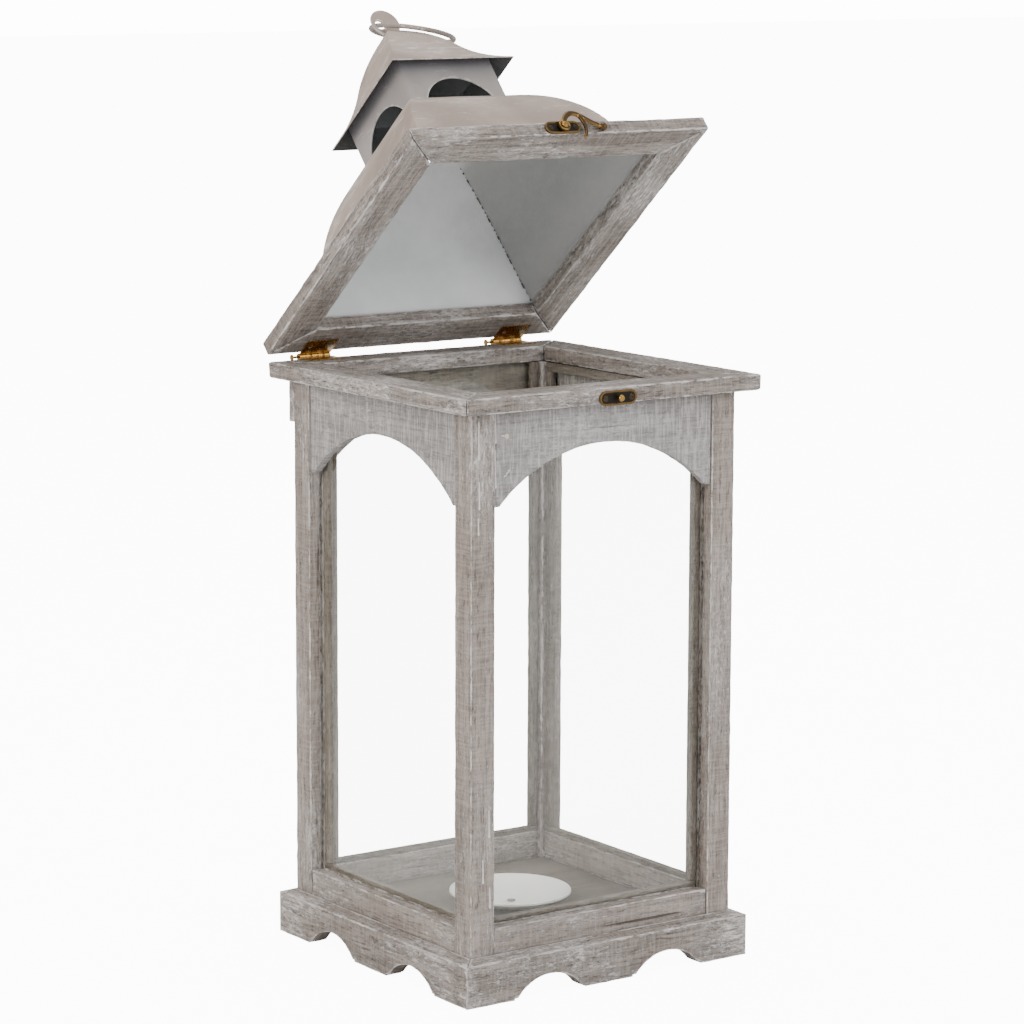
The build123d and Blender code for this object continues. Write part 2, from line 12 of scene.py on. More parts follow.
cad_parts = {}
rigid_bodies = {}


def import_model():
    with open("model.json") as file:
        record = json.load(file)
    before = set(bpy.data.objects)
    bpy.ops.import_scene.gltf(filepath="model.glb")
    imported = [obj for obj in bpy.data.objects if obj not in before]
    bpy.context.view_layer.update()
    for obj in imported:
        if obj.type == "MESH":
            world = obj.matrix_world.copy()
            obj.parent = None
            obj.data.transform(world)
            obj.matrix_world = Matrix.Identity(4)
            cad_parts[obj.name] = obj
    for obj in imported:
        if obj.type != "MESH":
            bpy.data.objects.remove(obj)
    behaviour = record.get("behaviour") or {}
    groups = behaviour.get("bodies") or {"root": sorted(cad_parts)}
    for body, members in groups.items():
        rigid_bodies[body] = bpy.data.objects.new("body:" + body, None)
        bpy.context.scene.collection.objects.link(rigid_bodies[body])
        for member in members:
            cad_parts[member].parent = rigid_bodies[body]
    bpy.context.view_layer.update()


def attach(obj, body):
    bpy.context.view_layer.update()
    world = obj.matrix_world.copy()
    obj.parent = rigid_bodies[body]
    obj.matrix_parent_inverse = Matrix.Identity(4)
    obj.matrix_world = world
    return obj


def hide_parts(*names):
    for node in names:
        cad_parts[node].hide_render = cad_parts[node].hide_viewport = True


LOG = logging.getLogger("lantern")
MM = 0.001
Point = tuple[float, float, float]
Colour = tuple[float, float, float]
Piece = bpy.types.Object
Material = bpy.types.Material
Socket = bpy.types.NodeSocket

BODY_HALF = 100.0
PLINTH_TOP = 26.6
RAIL_TOP = 45.5
CAP_HALF = 111.6
CAP_LOW = 363.3
CAP_HIGH = 373.8
RING_INNER = 85.8
LID_LOW = 375.4
LID_HIGH = 385.2
PIVOT = (0.0, 114.6, 374.6)
LID_OPEN = 40.8
GLASS_MID = 90.0
POST_IN = 82.0


class Side(Enum):
    """The four sides of the case, with the turn from the front one in degrees."""

    front = 0
    right = 90
    back = 180
    left = 270


class Corner(Enum):
    """The four corners of the case, with the turn from the front left one in degrees."""

    front_left = 0
    front_right = 90
    back_right = 180
    back_left = 270


class Body(Enum):
    """The moving bodies of the lantern."""

    case = "case"
    lid = "lid"
    hook = "hook"
    ring = "ring"


class Shade(Enum):
    """How a wooden board is finished."""

    limed = "limed"
    smooth = "smooth"
    worn = "worn"
    inner = "inner"
    floor = "floor"


def lid_turn() -> Matrix:
    """Give the move from the shut lid to the open one."""
    pivot = Matrix.Translation(Vector(PIVOT) * MM)
    turn = Matrix.Rotation(math.radians(-LID_OPEN), 4, "X")
    return pivot @ turn @ pivot.inverted()


# --- modelling moves ------------------------------------------------------------------------
def deselect() -> None:
    """Leave edit mode and deselect every object."""
    if bpy.context.object and bpy.context.object.mode != "OBJECT":
        bpy.ops.object.mode_set(mode="OBJECT")
    bpy.ops.object.select_all(action="DESELECT")


def activate(obj: Piece) -> None:
    """Select one object alone and make it active."""
    deselect()
    obj.select_set(True)
    bpy.context.view_layer.objects.active = obj


@contextmanager
def editing(obj: Piece, mode: str = "VERT") -> Iterator[None]:
    """Open an object in edit mode, and close it afterwards.

    Args:
        obj: The object.
        mode: VERT, EDGE or FACE, what is selected.
    """
    activate(obj)
    bpy.context.tool_settings.mesh_select_mode = (mode == "VERT", mode == "EDGE", mode == "FACE")
    bpy.ops.object.mode_set(mode="EDIT")
    yield
    bpy.ops.object.mode_set(mode="OBJECT")


def settle(obj: Piece) -> None:
    """Move an object's place, turn and size into its mesh."""
    activate(obj)
    bpy.ops.object.transform_apply(location=True, rotation=True, scale=True)


def place(obj: Piece, matrix: Matrix) -> Piece:
    """Move a finished mesh by a matrix and settle it."""
    obj.matrix_world = matrix @ obj.matrix_world
    settle(obj)
    return obj


def modify(obj: Piece, kind: str, **settings: object) -> None:
    """Add a modifier, set it and apply it.

    Args:
        obj: The object.
        kind: The modifier's type.
        settings: Its values.
    """
    activate(obj)
    bpy.ops.object.modifier_add(type=kind)
    modifier = obj.modifiers[-1]
    for name, value in settings.items():
        setattr(modifier, name, value)
    bpy.ops.object.modifier_apply(modifier=modifier.name)


def remove(obj: Piece) -> None:
    """Take a helper object away."""
    bpy.data.objects.remove(obj, do_unlink=True)


def cuboid(name: str, low: Sequence[float], high: Sequence[float]) -> Piece:
    """Add a block between two corners in millimetres."""
    deselect()
    middle = [(a + b) / 2 * MM for a, b in zip(low, high)]
    size = [(b - a) * MM for a, b in zip(low, high)]
    bpy.ops.mesh.primitive_cube_add(size=1, location=middle, scale=size)
    obj = bpy.context.object
    obj.name = name
    settle(obj)
    return obj


def rod(name: str, start: Sequence[float], end: Sequence[float], radius: float,
        sides: int = 32, tip: float | None = None) -> Piece:
    """Add a round bar or cone between two points in millimetres.

    Args:
        name: The object's name.
        start: Middle of the first end.
        end: Middle of the second end.
        radius: Radius at the start.
        sides: Flats round the bar.
        tip: Radius at the end, if it tapers.
    """
    deselect()
    a, b = Vector(start) * MM, Vector(end) * MM
    turn = (b - a).to_track_quat("Z", "Y").to_euler()
    bpy.ops.mesh.primitive_cone_add(vertices=sides, radius1=radius * MM,
                                    radius2=(radius if tip is None else tip) * MM,
                                    depth=(b - a).length, location=(a + b) / 2, rotation=turn)
    obj = bpy.context.object
    obj.name = name
    settle(obj)
    return obj


def combine(obj: Piece, tool: Piece, how: str = "DIFFERENCE") -> None:
    """Join or cut an object with a tool, which is then removed."""
    modify(obj, "BOOLEAN", operation=how, object=tool, solver="EXACT")
    remove(tool)


def join(objects: Sequence[Piece], name: str) -> Piece:
    """Put separate pieces into one object without merging them."""
    activate(objects[0])
    for obj in objects:
        obj.select_set(True)
    if len(objects) > 1:
        bpy.ops.object.join()
    objects[0].name = name
    return objects[0]


def duplicate(obj: Piece, name: str) -> Piece:
    """Copy an object with a mesh of its own."""
    activate(obj)
    bpy.ops.object.duplicate(linked=False)
    copy = bpy.context.object
    copy.name = name
    copy.data.name = name
    return copy


def turned(obj: Piece, name: str, degrees: float) -> Piece:
    """Copy a piece to another side of the case."""
    return place(duplicate(obj, name), Matrix.Rotation(math.radians(degrees), 4, "Z"))


def pick(obj: Piece, kind: str, test: Callable[[Vector, Vector], bool]) -> None:
    """Select the faces, edges or points that pass a test.

    Args:
        obj: The object, in object mode.
        kind: VERT, EDGE or FACE.
        test: Takes the element's middle in millimetres and its normal or direction.
    """
    mesh = obj.data
    for items in (mesh.vertices, mesh.edges, mesh.polygons):
        items.foreach_set("select", [False] * len(items))
    if kind == "FACE":
        for face in mesh.polygons:
            face.select = test(face.center / MM, face.normal)
    elif kind == "EDGE":
        for edge in mesh.edges:
            a, b = (mesh.vertices[i].co for i in edge.vertices)
            edge.select = test((a + b) / 2 / MM, (b - a).normalized())
            if edge.select:
                for i in edge.vertices:
                    mesh.vertices[i].select = True
    else:
        for vertex in mesh.vertices:
            vertex.select = test(vertex.co / MM, vertex.normal)


def slice_off(obj: Piece, at: Sequence[float], normal: Sequence[float]) -> None:
    """Cut away what lies beyond a plane, and close the cut."""
    with editing(obj):
        bpy.ops.mesh.select_all(action="SELECT")
        bpy.ops.mesh.bisect(plane_co=Vector(at) * MM, plane_no=normal, use_fill=True,
                            clear_outer=True)


def lattice(obj: Piece, steps: Sequence[float]) -> None:
    """Score a piece with a lattice of cuts, so that its faces can take wear.

    Args:
        obj: The object.
        steps: Spacing along X, Y and Z in millimetres, 0 for none.
    """
    corners = [Vector(c) / MM for c in obj.bound_box]
    with editing(obj):
        for axis, step in enumerate(steps):
            if not step:
                continue
            low = min(c[axis] for c in corners)
            high = max(c[axis] for c in corners)
            count = max(1, round((high - low) / step))
            for i in range(1, count):
                at, normal = [0.0] * 3, [0.0] * 3
                at[axis] = (low + (high - low) * i / count) * MM
                normal[axis] = 1.0
                bpy.ops.mesh.select_all(action="SELECT")
                bpy.ops.mesh.bisect(plane_co=at, plane_no=normal)


def corner_points(obj: Piece, angle: float = 30.0) -> kdtree.KDTree:
    """Collect points along an object's sharp edges.

    Args:
        obj: The object.
        angle: Degrees between two faces past which their edge is sharp.

    Returns:
        A tree of points a millimetre apart.
    """
    mesh = obj.data
    sides: dict[tuple[int, int], list[Vector]] = {}
    for face in mesh.polygons:
        for key in face.edge_keys:
            sides.setdefault(key, []).append(face.normal)
    points = []
    for (i, j), normals in sides.items():
        if len(normals) == 2 and normals[0].angle(normals[1], 0.0) < math.radians(angle):
            continue
        a, b = mesh.vertices[i].co, mesh.vertices[j].co
        count = max(1, int((b - a).length / MM))
        points.extend(a.lerp(b, k / count) for k in range(count + 1))
    tree = kdtree.KDTree(max(1, len(points)))
    for k, point in enumerate(points):
        tree.insert(point, k)
    tree.balance()
    return tree


def mark_edges(obj: Piece, tree: kdtree.KDTree, reach: float) -> None:
    """Store how far each point lies from a sharp edge, and weigh the points near one.

    Args:
        obj: The object.
        tree: Points along its sharp edges.
        reach: Millimetres over which the weight falls to nothing.
    """
    mesh = obj.data
    values = [min(tree.find(v.co)[2], 0.02) for v in mesh.vertices]
    layer = mesh.attributes.new("edge_distance", "FLOAT", "POINT")
    layer.data.foreach_set("value", values)
    group = obj.vertex_groups.new(name="edges")
    for i, value in enumerate(values):
        weight = max(0.0, 1.0 - value / (reach * MM))
        if weight > 0:
            group.add([i], weight, "REPLACE")


def mark_grain(obj: Piece, along: int, offset: float = 0.0) -> None:
    """Store each point's place along and across the grain, in metres.

    Args:
        obj: The object.
        along: Axis that the grain follows, 0 to 2.
        offset: Metres added along the grain, so that no two boards match.
    """
    mesh = obj.data
    order = [along] + [axis for axis in range(3) if axis != along]
    values = []
    for vertex in mesh.vertices:
        values.extend(vertex.co[axis] + offset * (1 + 2 * n) for n, axis in enumerate(order))
    old = mesh.attributes.get("grain")
    if old:
        mesh.attributes.remove(old)
    mesh.attributes.new("grain", "FLOAT_VECTOR", "POINT").data.foreach_set("vector", values)


def shift_grain(obj: Piece, offset: float) -> None:
    """Move a copied board's grain, so that it doesn't match the board it was copied from."""
    layer = obj.data.attributes["grain"]
    values = [0.0] * (3 * len(obj.data.vertices))
    layer.data.foreach_get("vector", values)
    layer.data.foreach_set("vector", [v + offset * (1 + 2 * (i % 3)) for i, v in enumerate(values)])


def noise_texture(name: str, scale: float, depth: int = 2) -> bpy.types.Texture:
    """Give a cloud pattern for a displacement, made once."""
    texture = bpy.data.textures.get(name)
    if texture is None:
        texture = bpy.data.textures.new(name, "CLOUDS")
        texture.noise_scale = scale * MM
        texture.noise_depth = depth
    return texture


def wear_down(obj: Piece, depth: float, scale: float) -> None:
    """Wear a piece's edges away unevenly.

    Args:
        obj: The object, with its edges weighed.
        depth: Deepest wear in millimetres.
        scale: Length of the uneven spots in millimetres.
    """
    modify(obj, "DISPLACE", texture=noise_texture(f"wear {scale}", scale), strength=-depth * MM,
           mid_level=0.12, vertex_group="edges", texture_coords="GLOBAL")


def smooth(obj: Piece, angle: float = 35.0) -> None:
    """Shade a piece smooth up to an angle in degrees."""
    activate(obj)
    bpy.ops.object.shade_smooth_by_angle(angle=math.radians(angle))


def recalculate(obj: Piece, outward_from: Sequence[float] | None = None) -> None:
    """Turn a mesh's faces outwards.

    Args:
        obj: The object.
        outward_from: For an open shell, a point in millimetres inside it.
    """
    with editing(obj, "FACE"):
        bpy.ops.mesh.select_all(action="SELECT")
        bpy.ops.mesh.remove_doubles(threshold=1e-6)
        bpy.ops.mesh.normals_make_consistent(inside=False)
    if outward_from is not None:
        inside = Vector(outward_from) * MM
        score = sum((f.center - inside).dot(f.normal) * f.area for f in obj.data.polygons)
        if score < 0:
            with editing(obj, "FACE"):
                bpy.ops.mesh.select_all(action="SELECT")
                bpy.ops.mesh.flip_normals()


def arc_points(first: tuple[float, float], middle: tuple[float, float],
               last: tuple[float, float], count: int) -> list[tuple[float, float]]:
    """Give points on the circle arc through three points.

    Args:
        first: Start of the arc.
        middle: A point on it.
        last: End of it.
        count: Number of steps.

    Returns:
        The points from first to last.
    """
    (ax, ay), (bx, by), (cx, cy) = first, middle, last
    d = 2 * (ax * (by - cy) + bx * (cy - ay) + cx * (ay - by))
    sa, sb, sc = ax * ax + ay * ay, bx * bx + by * by, cx * cx + cy * cy
    ux = (sa * (by - cy) + sb * (cy - ay) + sc * (ay - by)) / d
    uy = (sa * (cx - bx) + sb * (ax - cx) + sc * (bx - ax)) / d
    radius = math.hypot(ax - ux, ay - uy)
    start = math.atan2(ay - uy, ax - ux)
    turn = math.remainder(math.atan2(cy - uy, cx - ux) - start, 2 * math.pi)
    return [(ux + radius * math.cos(start + turn * i / count),
             uy + radius * math.sin(start + turn * i / count)) for i in range(count + 1)]


def hide_nodes(obj: Piece, body: Body, slot: str, *nodes: str) -> None:
    """Let a finished piece ride on a body and stand for its CAD nodes."""
    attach(obj, body.value)
    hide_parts(*nodes)
    LOG.info("piece %s on %s, %d faces", obj.name, body.value, len(obj.data.polygons))


# --- finishes -------------------------------------------------------------------------------
class Desk:
    """A material's node tree, laid out by short calls."""

    def __init__(self, name: str) -> None:
        """Start a material with one Principled shader."""
        self.material = bpy.data.materials.new(name)
        self.material.use_nodes = True
        self.tree = self.material.node_tree
        self.shader = self.tree.nodes["Principled BSDF"]
        self.output = self.tree.nodes["Material Output"]

    def node(self, kind: str, **settings: object) -> bpy.types.Node:
        """Add a node of a type and set its values."""
        item = self.tree.nodes.new(kind)
        for name, value in settings.items():
            setattr(item, name, value)
        return item

    def feed(self, socket: Socket, value: object) -> None:
        """Link a socket to an output, or set its value."""
        if isinstance(value, Socket):
            self.tree.links.new(value, socket)
        elif isinstance(value, tuple) and len(value) == 3 and socket.type == "RGBA":
            socket.default_value = (*value, 1.0)
        else:
            socket.default_value = value

    def attribute(self, name: str, kind: str = "Vector") -> Socket:
        """Read a value stored on the mesh."""
        return self.node("ShaderNodeAttribute", attribute_name=name).outputs[kind]

    def place(self) -> Socket:
        """Read Object coordinates."""
        return self.node("ShaderNodeTexCoord").outputs["Object"]

    def mapping(self, vector: object, scale: Point, turn: Point = (0.0, 0.0, 0.0),
                shift: Point = (0.0, 0.0, 0.0)) -> Socket:
        """Stretch, turn and move coordinates."""
        item = self.node("ShaderNodeMapping")
        self.feed(item.inputs["Vector"], vector)
        item.inputs["Scale"].default_value = scale
        item.inputs["Rotation"].default_value = [math.radians(v) for v in turn]
        item.inputs["Location"].default_value = shift
        return item.outputs["Vector"]

    def noise(self, vector: object, scale: float = 1.0, detail: float = 4.0,
              rough: float = 0.55, warp: float = 0.0) -> Socket:
        """Add a noise pattern."""
        item = self.node("ShaderNodeTexNoise")
        self.feed(item.inputs["Vector"], vector)
        item.inputs["Scale"].default_value = scale
        item.inputs["Detail"].default_value = detail
        item.inputs["Roughness"].default_value = rough
        item.inputs["Distortion"].default_value = warp
        return item.outputs["Fac"]

    def span(self, value: object, low: float, high: float, to_low: float = 0.0,
             to_high: float = 1.0) -> Socket:
        """Map a range to another with smooth ends."""
        item = self.node("ShaderNodeMapRange", interpolation_type="SMOOTHSTEP")
        for name, number in (("From Min", low), ("From Max", high), ("To Min", to_low),
                             ("To Max", to_high)):
            item.inputs[name].default_value = number
        self.feed(item.inputs["Value"], value)
        return item.outputs["Result"]

    def maths(self, how: str, a: object, b: object = 0.0) -> Socket:
        """Combine two numbers."""
        item = self.node("ShaderNodeMath", operation=how)
        self.feed(item.inputs[0], a)
        self.feed(item.inputs[1], b)
        return item.outputs[0]

    def times(self, a: object, b: object) -> Socket:
        """Multiply two numbers."""
        return self.maths("MULTIPLY", a, b)

    def plus(self, a: object, b: object) -> Socket:
        """Add two numbers."""
        return self.maths("ADD", a, b)

    def minus(self, a: object, b: object) -> Socket:
        """Subtract one number from another."""
        return self.maths("SUBTRACT", a, b)

    def blend(self, share: object, a: object, b: object) -> Socket:
        """Mix two colours by a share."""
        item = self.node("ShaderNodeMix", data_type="RGBA")
        self.feed(item.inputs["Factor"], share)
        self.feed(item.inputs[6], a)
        self.feed(item.inputs[7], b)
        return item.outputs[2]

    def bump(self, height: object, strength: float, depth: float,
             normal: object = None) -> Socket:
        """Add relief."""
        item = self.node("ShaderNodeBump")
        item.inputs["Strength"].default_value = strength
        item.inputs["Distance"].default_value = depth * MM
        self.feed(item.inputs["Height"], height)
        if normal is not None:
            self.feed(item.inputs["Normal"], normal)
        return item.outputs["Normal"]

    def set(self, **values: object) -> None:
        """Set or link the shader's sockets; an underscore stands for a space."""
        for name, value in values.items():
            self.feed(self.shader.inputs[name.replace("_", " ")], value)


@dataclass(frozen=True)
class Pattern:
    """One noise pattern in a board, stretched along its grain."""

    stretch: Point
    detail: float
    rough: float
    shift: Point = (0.0, 0.0, 0.0)
    turn: Point = (0.0, 0.0, 0.0)
    warp: float = 0.0

    def noise(self, desk: Desk, grain: Socket) -> Socket:
        """Build the pattern."""
        where = desk.mapping(grain, self.stretch, self.turn, self.shift)
        return desk.noise(where, 1.0, self.detail, self.rough, self.warp)


CLOUD = Pattern((14, 30, 30), 3.0, 0.5)
BAND = Pattern((7, 150, 150), 4.0, 0.6, (2, 9, 4), warp=0.3)
STREAK = Pattern((26, 520, 520), 6.0, 0.72)
FLECK = Pattern((150, 520, 520), 8.0, 0.9, (3, 5, 7))
PIT = Pattern((95, 560, 560), 7.0, 0.85, (5, 1, 3))
SAW = Pattern((700, 60, 60), 4.0, 0.65, turn=(0, 0, 3))
CHIP = Pattern((75, 220, 220), 8.0, 0.8, (1, 8, 2))
CRACK = Pattern((8, 330, 330), 2.0, 0.5, (11, 2, 9))


@dataclass(frozen=True)
class LimedWood:
    """Softwood under thin rubbed paint, with its grain, flecks, pits and bright edges.

    The pattern follows the grain stored on each board.  Each share says how strongly one
    layer shows.
    """

    name: str
    light: Colour
    dark: Colour
    fleck: Colour
    pit: Colour
    streaks: float = 0.5
    bands: float = 0.35
    flecks: float = 0.45
    cover: float = 0.0
    pits: float = 0.6
    saw: float = 0.12
    rim: float = 0.7
    rim_reach: float = 1.0

    def material(self) -> Material:
        """Build the material."""
        desk = Desk(self.name)
        grain = desk.attribute("grain")
        edge = edge_mm(desk, desk.attribute("edge_distance", "Fac"))
        cloud, band, streak, fleck, pit, saw, chip, crack = (
            kind.noise(desk, grain) for kind in (CLOUD, BAND, STREAK, FLECK, PIT, SAW, CHIP, CRACK))
        tone = desk.blend(desk.span(cloud, 0.32, 0.68), self.dark, self.light)
        low = tuple(c / 2 for c in self.dark)
        for lines, start, end, share in ((band, 0.44, 0.60, self.bands),
                                         (streak, 0.46, 0.58, self.streaks)):
            tone = desk.blend(desk.times(desk.span(lines, start, end), share), tone, low)
        patch = desk.span(cloud, 0.3, 0.7, -0.05, 0.06)
        wash = desk.span(desk.plus(fleck, patch), 0.52 - self.cover, 0.60 - self.cover)
        lines = desk.span(saw, 0.44, 0.60)
        wash = desk.maths("MAXIMUM", desk.times(wash, self.flecks),
                        desk.times(lines, self.saw))
        tone = desk.blend(wash, tone, self.fleck)
        hollow = desk.times(desk.span(pit, 0.555, 0.62), self.pits)
        tone = desk.blend(hollow, tone, self.pit)
        wide = desk.span(chip, 0.34, 0.66, 0.0, self.rim_reach)
        bright = desk.span(desk.minus(wide, edge), -0.15, 0.35)
        tone = desk.blend(desk.times(bright, self.rim), tone, self.fleck)
        groove = desk.maths("ABSOLUTE", desk.minus(edge, 1.35))
        groove = desk.times(desk.span(groove, 0.0, 0.5, 1.0, 0.0), desk.span(chip, 0.46, 0.6))
        tone = desk.blend(desk.times(groove, 0.6 * self.rim), tone, self.pit)
        split = desk.span(crack, 0.735, 0.77)
        tone = desk.blend(desk.times(split, 0.85), tone, self.pit)
        relief = desk.plus(wash, desk.times(streak, -0.8))
        relief = desk.minus(relief, desk.plus(hollow, split))
        relief = desk.plus(relief, desk.times(bright, 0.5))
        desk.set(Base_Color=tone, Roughness=desk.span(wash, 0, 1, 0.88, 0.72),
                 Normal=desk.bump(relief, 0.85, 0.45))
        desk.shader.inputs["Specular IOR Level"].default_value = 0.25
        return desk.material


def edge_mm(desk: Desk, edge: Socket) -> Socket:
    """Turn the stored edge distance into millimetres."""
    return desk.times(edge, 1000.0)


@dataclass(frozen=True)
class BrushedPaint:
    """Matt paint on sheet metal or wire with dry-brushed white streaks."""

    name: str
    ground: Colour
    dark: Colour
    streak: Colour
    cover: float
    turn: Point = (0.0, 0.0, 0.0)
    stretch: Point = (60.0, 60.0, 420.0)
    edge_reach: float = 1.6
    # Colour of painted shade, laid on where the mesh's stored weight says: the shade under the chimney
    # cap's eave.
    gloom: Colour | None = None

    def material(self) -> Material:
        """Build the material; a given gloom colour is painted shade, laid on where the mesh's stored
        weight says: the shade under the chimney cap's eave.
        """
        desk = Desk(self.name)
        where = desk.mapping(desk.place(), (1, 1, 1), self.turn)
        cloud = desk.noise(where, 22.0, 3.0, 0.5)
        fleck = desk.noise(where, 480.0, 4.0, 0.7)
        brush = desk.noise(desk.mapping(where, self.stretch), 1.0, 6.0, 0.68)
        edge = desk.attribute("edge_distance", "Fac")
        tone = desk.blend(desk.span(cloud, 0.35, 0.65), self.dark, self.ground)
        streak = desk.plus(brush, desk.span(cloud, 0.3, 0.7, -0.06, 0.08))
        streak = desk.span(streak, 0.62 - self.cover, 0.76 - self.cover)
        tone = desk.blend(desk.times(streak, 0.7), tone, self.streak)
        chip = desk.span(desk.noise(where, 160.0, 4.0, 0.6), 0.4, 0.7, 0.2, self.edge_reach)
        rim = desk.span(desk.minus(chip, edge_mm(desk, edge)), -0.2, 0.5)
        tone = desk.blend(desk.times(rim, 0.75), tone, self.streak)
        # Painted shade: darken towards the shade colour by the weight stored on the mesh.
        if self.gloom:
            tone = desk.blend(desk.attribute("gloom", "Fac"), tone, self.gloom)
        relief = desk.plus(desk.times(streak, 0.5), desk.times(fleck, 0.6))
        desk.set(Base_Color=tone, Roughness=desk.span(fleck, 0.3, 0.7, 0.62, 0.8),
                 Normal=desk.bump(relief, 0.4, 0.18))
        desk.shader.inputs["Specular IOR Level"].default_value = 0.35
        return desk.material


@dataclass(frozen=True)
class PlainCoat:
    """A smooth coat with faint unevenness, for the roof's inside and the enamel."""

    name: str
    colour: Colour
    shade: Colour
    rough: float
    coat: float = 0.0
    scale: float = 18.0
    relief: float = 0.05
    # Colour of painted shade for the faces that look to -X.
    away: Colour | None = None

    def material(self) -> Material:
        """Build the material; a given away colour is painted shade, darkening the faces that look to
        -X.
        """
        desk = Desk(self.name)
        where = desk.place()
        cloud = desk.noise(where, self.scale, 4.0, 0.55)
        fine = desk.noise(where, self.scale * 30, 3.0, 0.6)
        tone = desk.blend(desk.span(cloud, 0.36, 0.66), self.shade, self.colour)
        # Painted shade: faces that look to -X darken towards the away colour, giving the dim side of
        # the roof's inside.
        if self.away:
            parts = desk.node("ShaderNodeSeparateXYZ")
            desk.feed(parts.inputs[0], desk.node("ShaderNodeNewGeometry").outputs["Normal"])
            tone = desk.blend(desk.span(parts.outputs[0], -0.75, -0.1, 1.0, 0.0), tone, self.away)
        desk.set(Base_Color=tone, Roughness=desk.span(fine, 0.3, 0.7, self.rough - 0.06,
                                                      self.rough + 0.06),
                 Normal=desk.bump(fine, 0.3, self.relief))
        desk.shader.inputs["Coat Weight"].default_value = self.coat
        desk.shader.inputs["Coat Roughness"].default_value = 0.18
        return desk.material


@dataclass(frozen=True)
class AntiqueMetal:
    """Metal that is dark where it lies deep and worn bright along its edges."""

    name: str
    bright: Colour
    dark: Colour
    reach: float
    rough: float

    def material(self) -> Material:
        """Build the material."""
        desk = Desk(self.name)
        where = desk.place()
        fleck = desk.noise(where, 900.0, 4.0, 0.65)
        edge = edge_mm(desk, desk.attribute("edge_distance", "Fac"))
        worn = desk.span(desk.minus(desk.span(fleck, 0.3, 0.7, 0.1, self.reach), edge),
                         -0.25, 0.35)
        tone = desk.blend(worn, self.dark, self.bright)
        desk.set(Base_Color=tone, Roughness=desk.span(fleck, 0.3, 0.7, self.rough - 0.08,
                                                      self.rough + 0.12),
                 Metallic=desk.span(worn, 0, 1, 0.75, 1.0), Normal=desk.bump(fleck, 0.35, 0.06))
        return desk.material


@dataclass(frozen=True)
class ClearGlass:
    """Clear sheet glass that lets the lamps through."""

    name: str
    tint: Colour

    def material(self) -> Material:
        """Build the material."""
        desk = Desk(self.name)
        shader = desk.shader
        shader.inputs["Base Color"].default_value = (*self.tint, 1.0)
        shader.inputs["Transmission Weight"].default_value = 1.0
        shader.inputs["Roughness"].default_value = 0.0
        shader.inputs["IOR"].default_value = 1.48
        clear = desk.node("ShaderNodeBsdfTransparent")
        clear.inputs["Color"].default_value = (*self.tint, 1.0)
        path = desk.node("ShaderNodeLightPath")
        mix = desk.node("ShaderNodeMixShader")
        desk.feed(mix.inputs[0], path.outputs["Is Shadow Ray"])
        desk.feed(mix.inputs[1], shader.outputs[0])
        desk.feed(mix.inputs[2], clear.outputs[0])
        desk.feed(desk.output.inputs["Surface"], mix.outputs[0])
        return desk.material


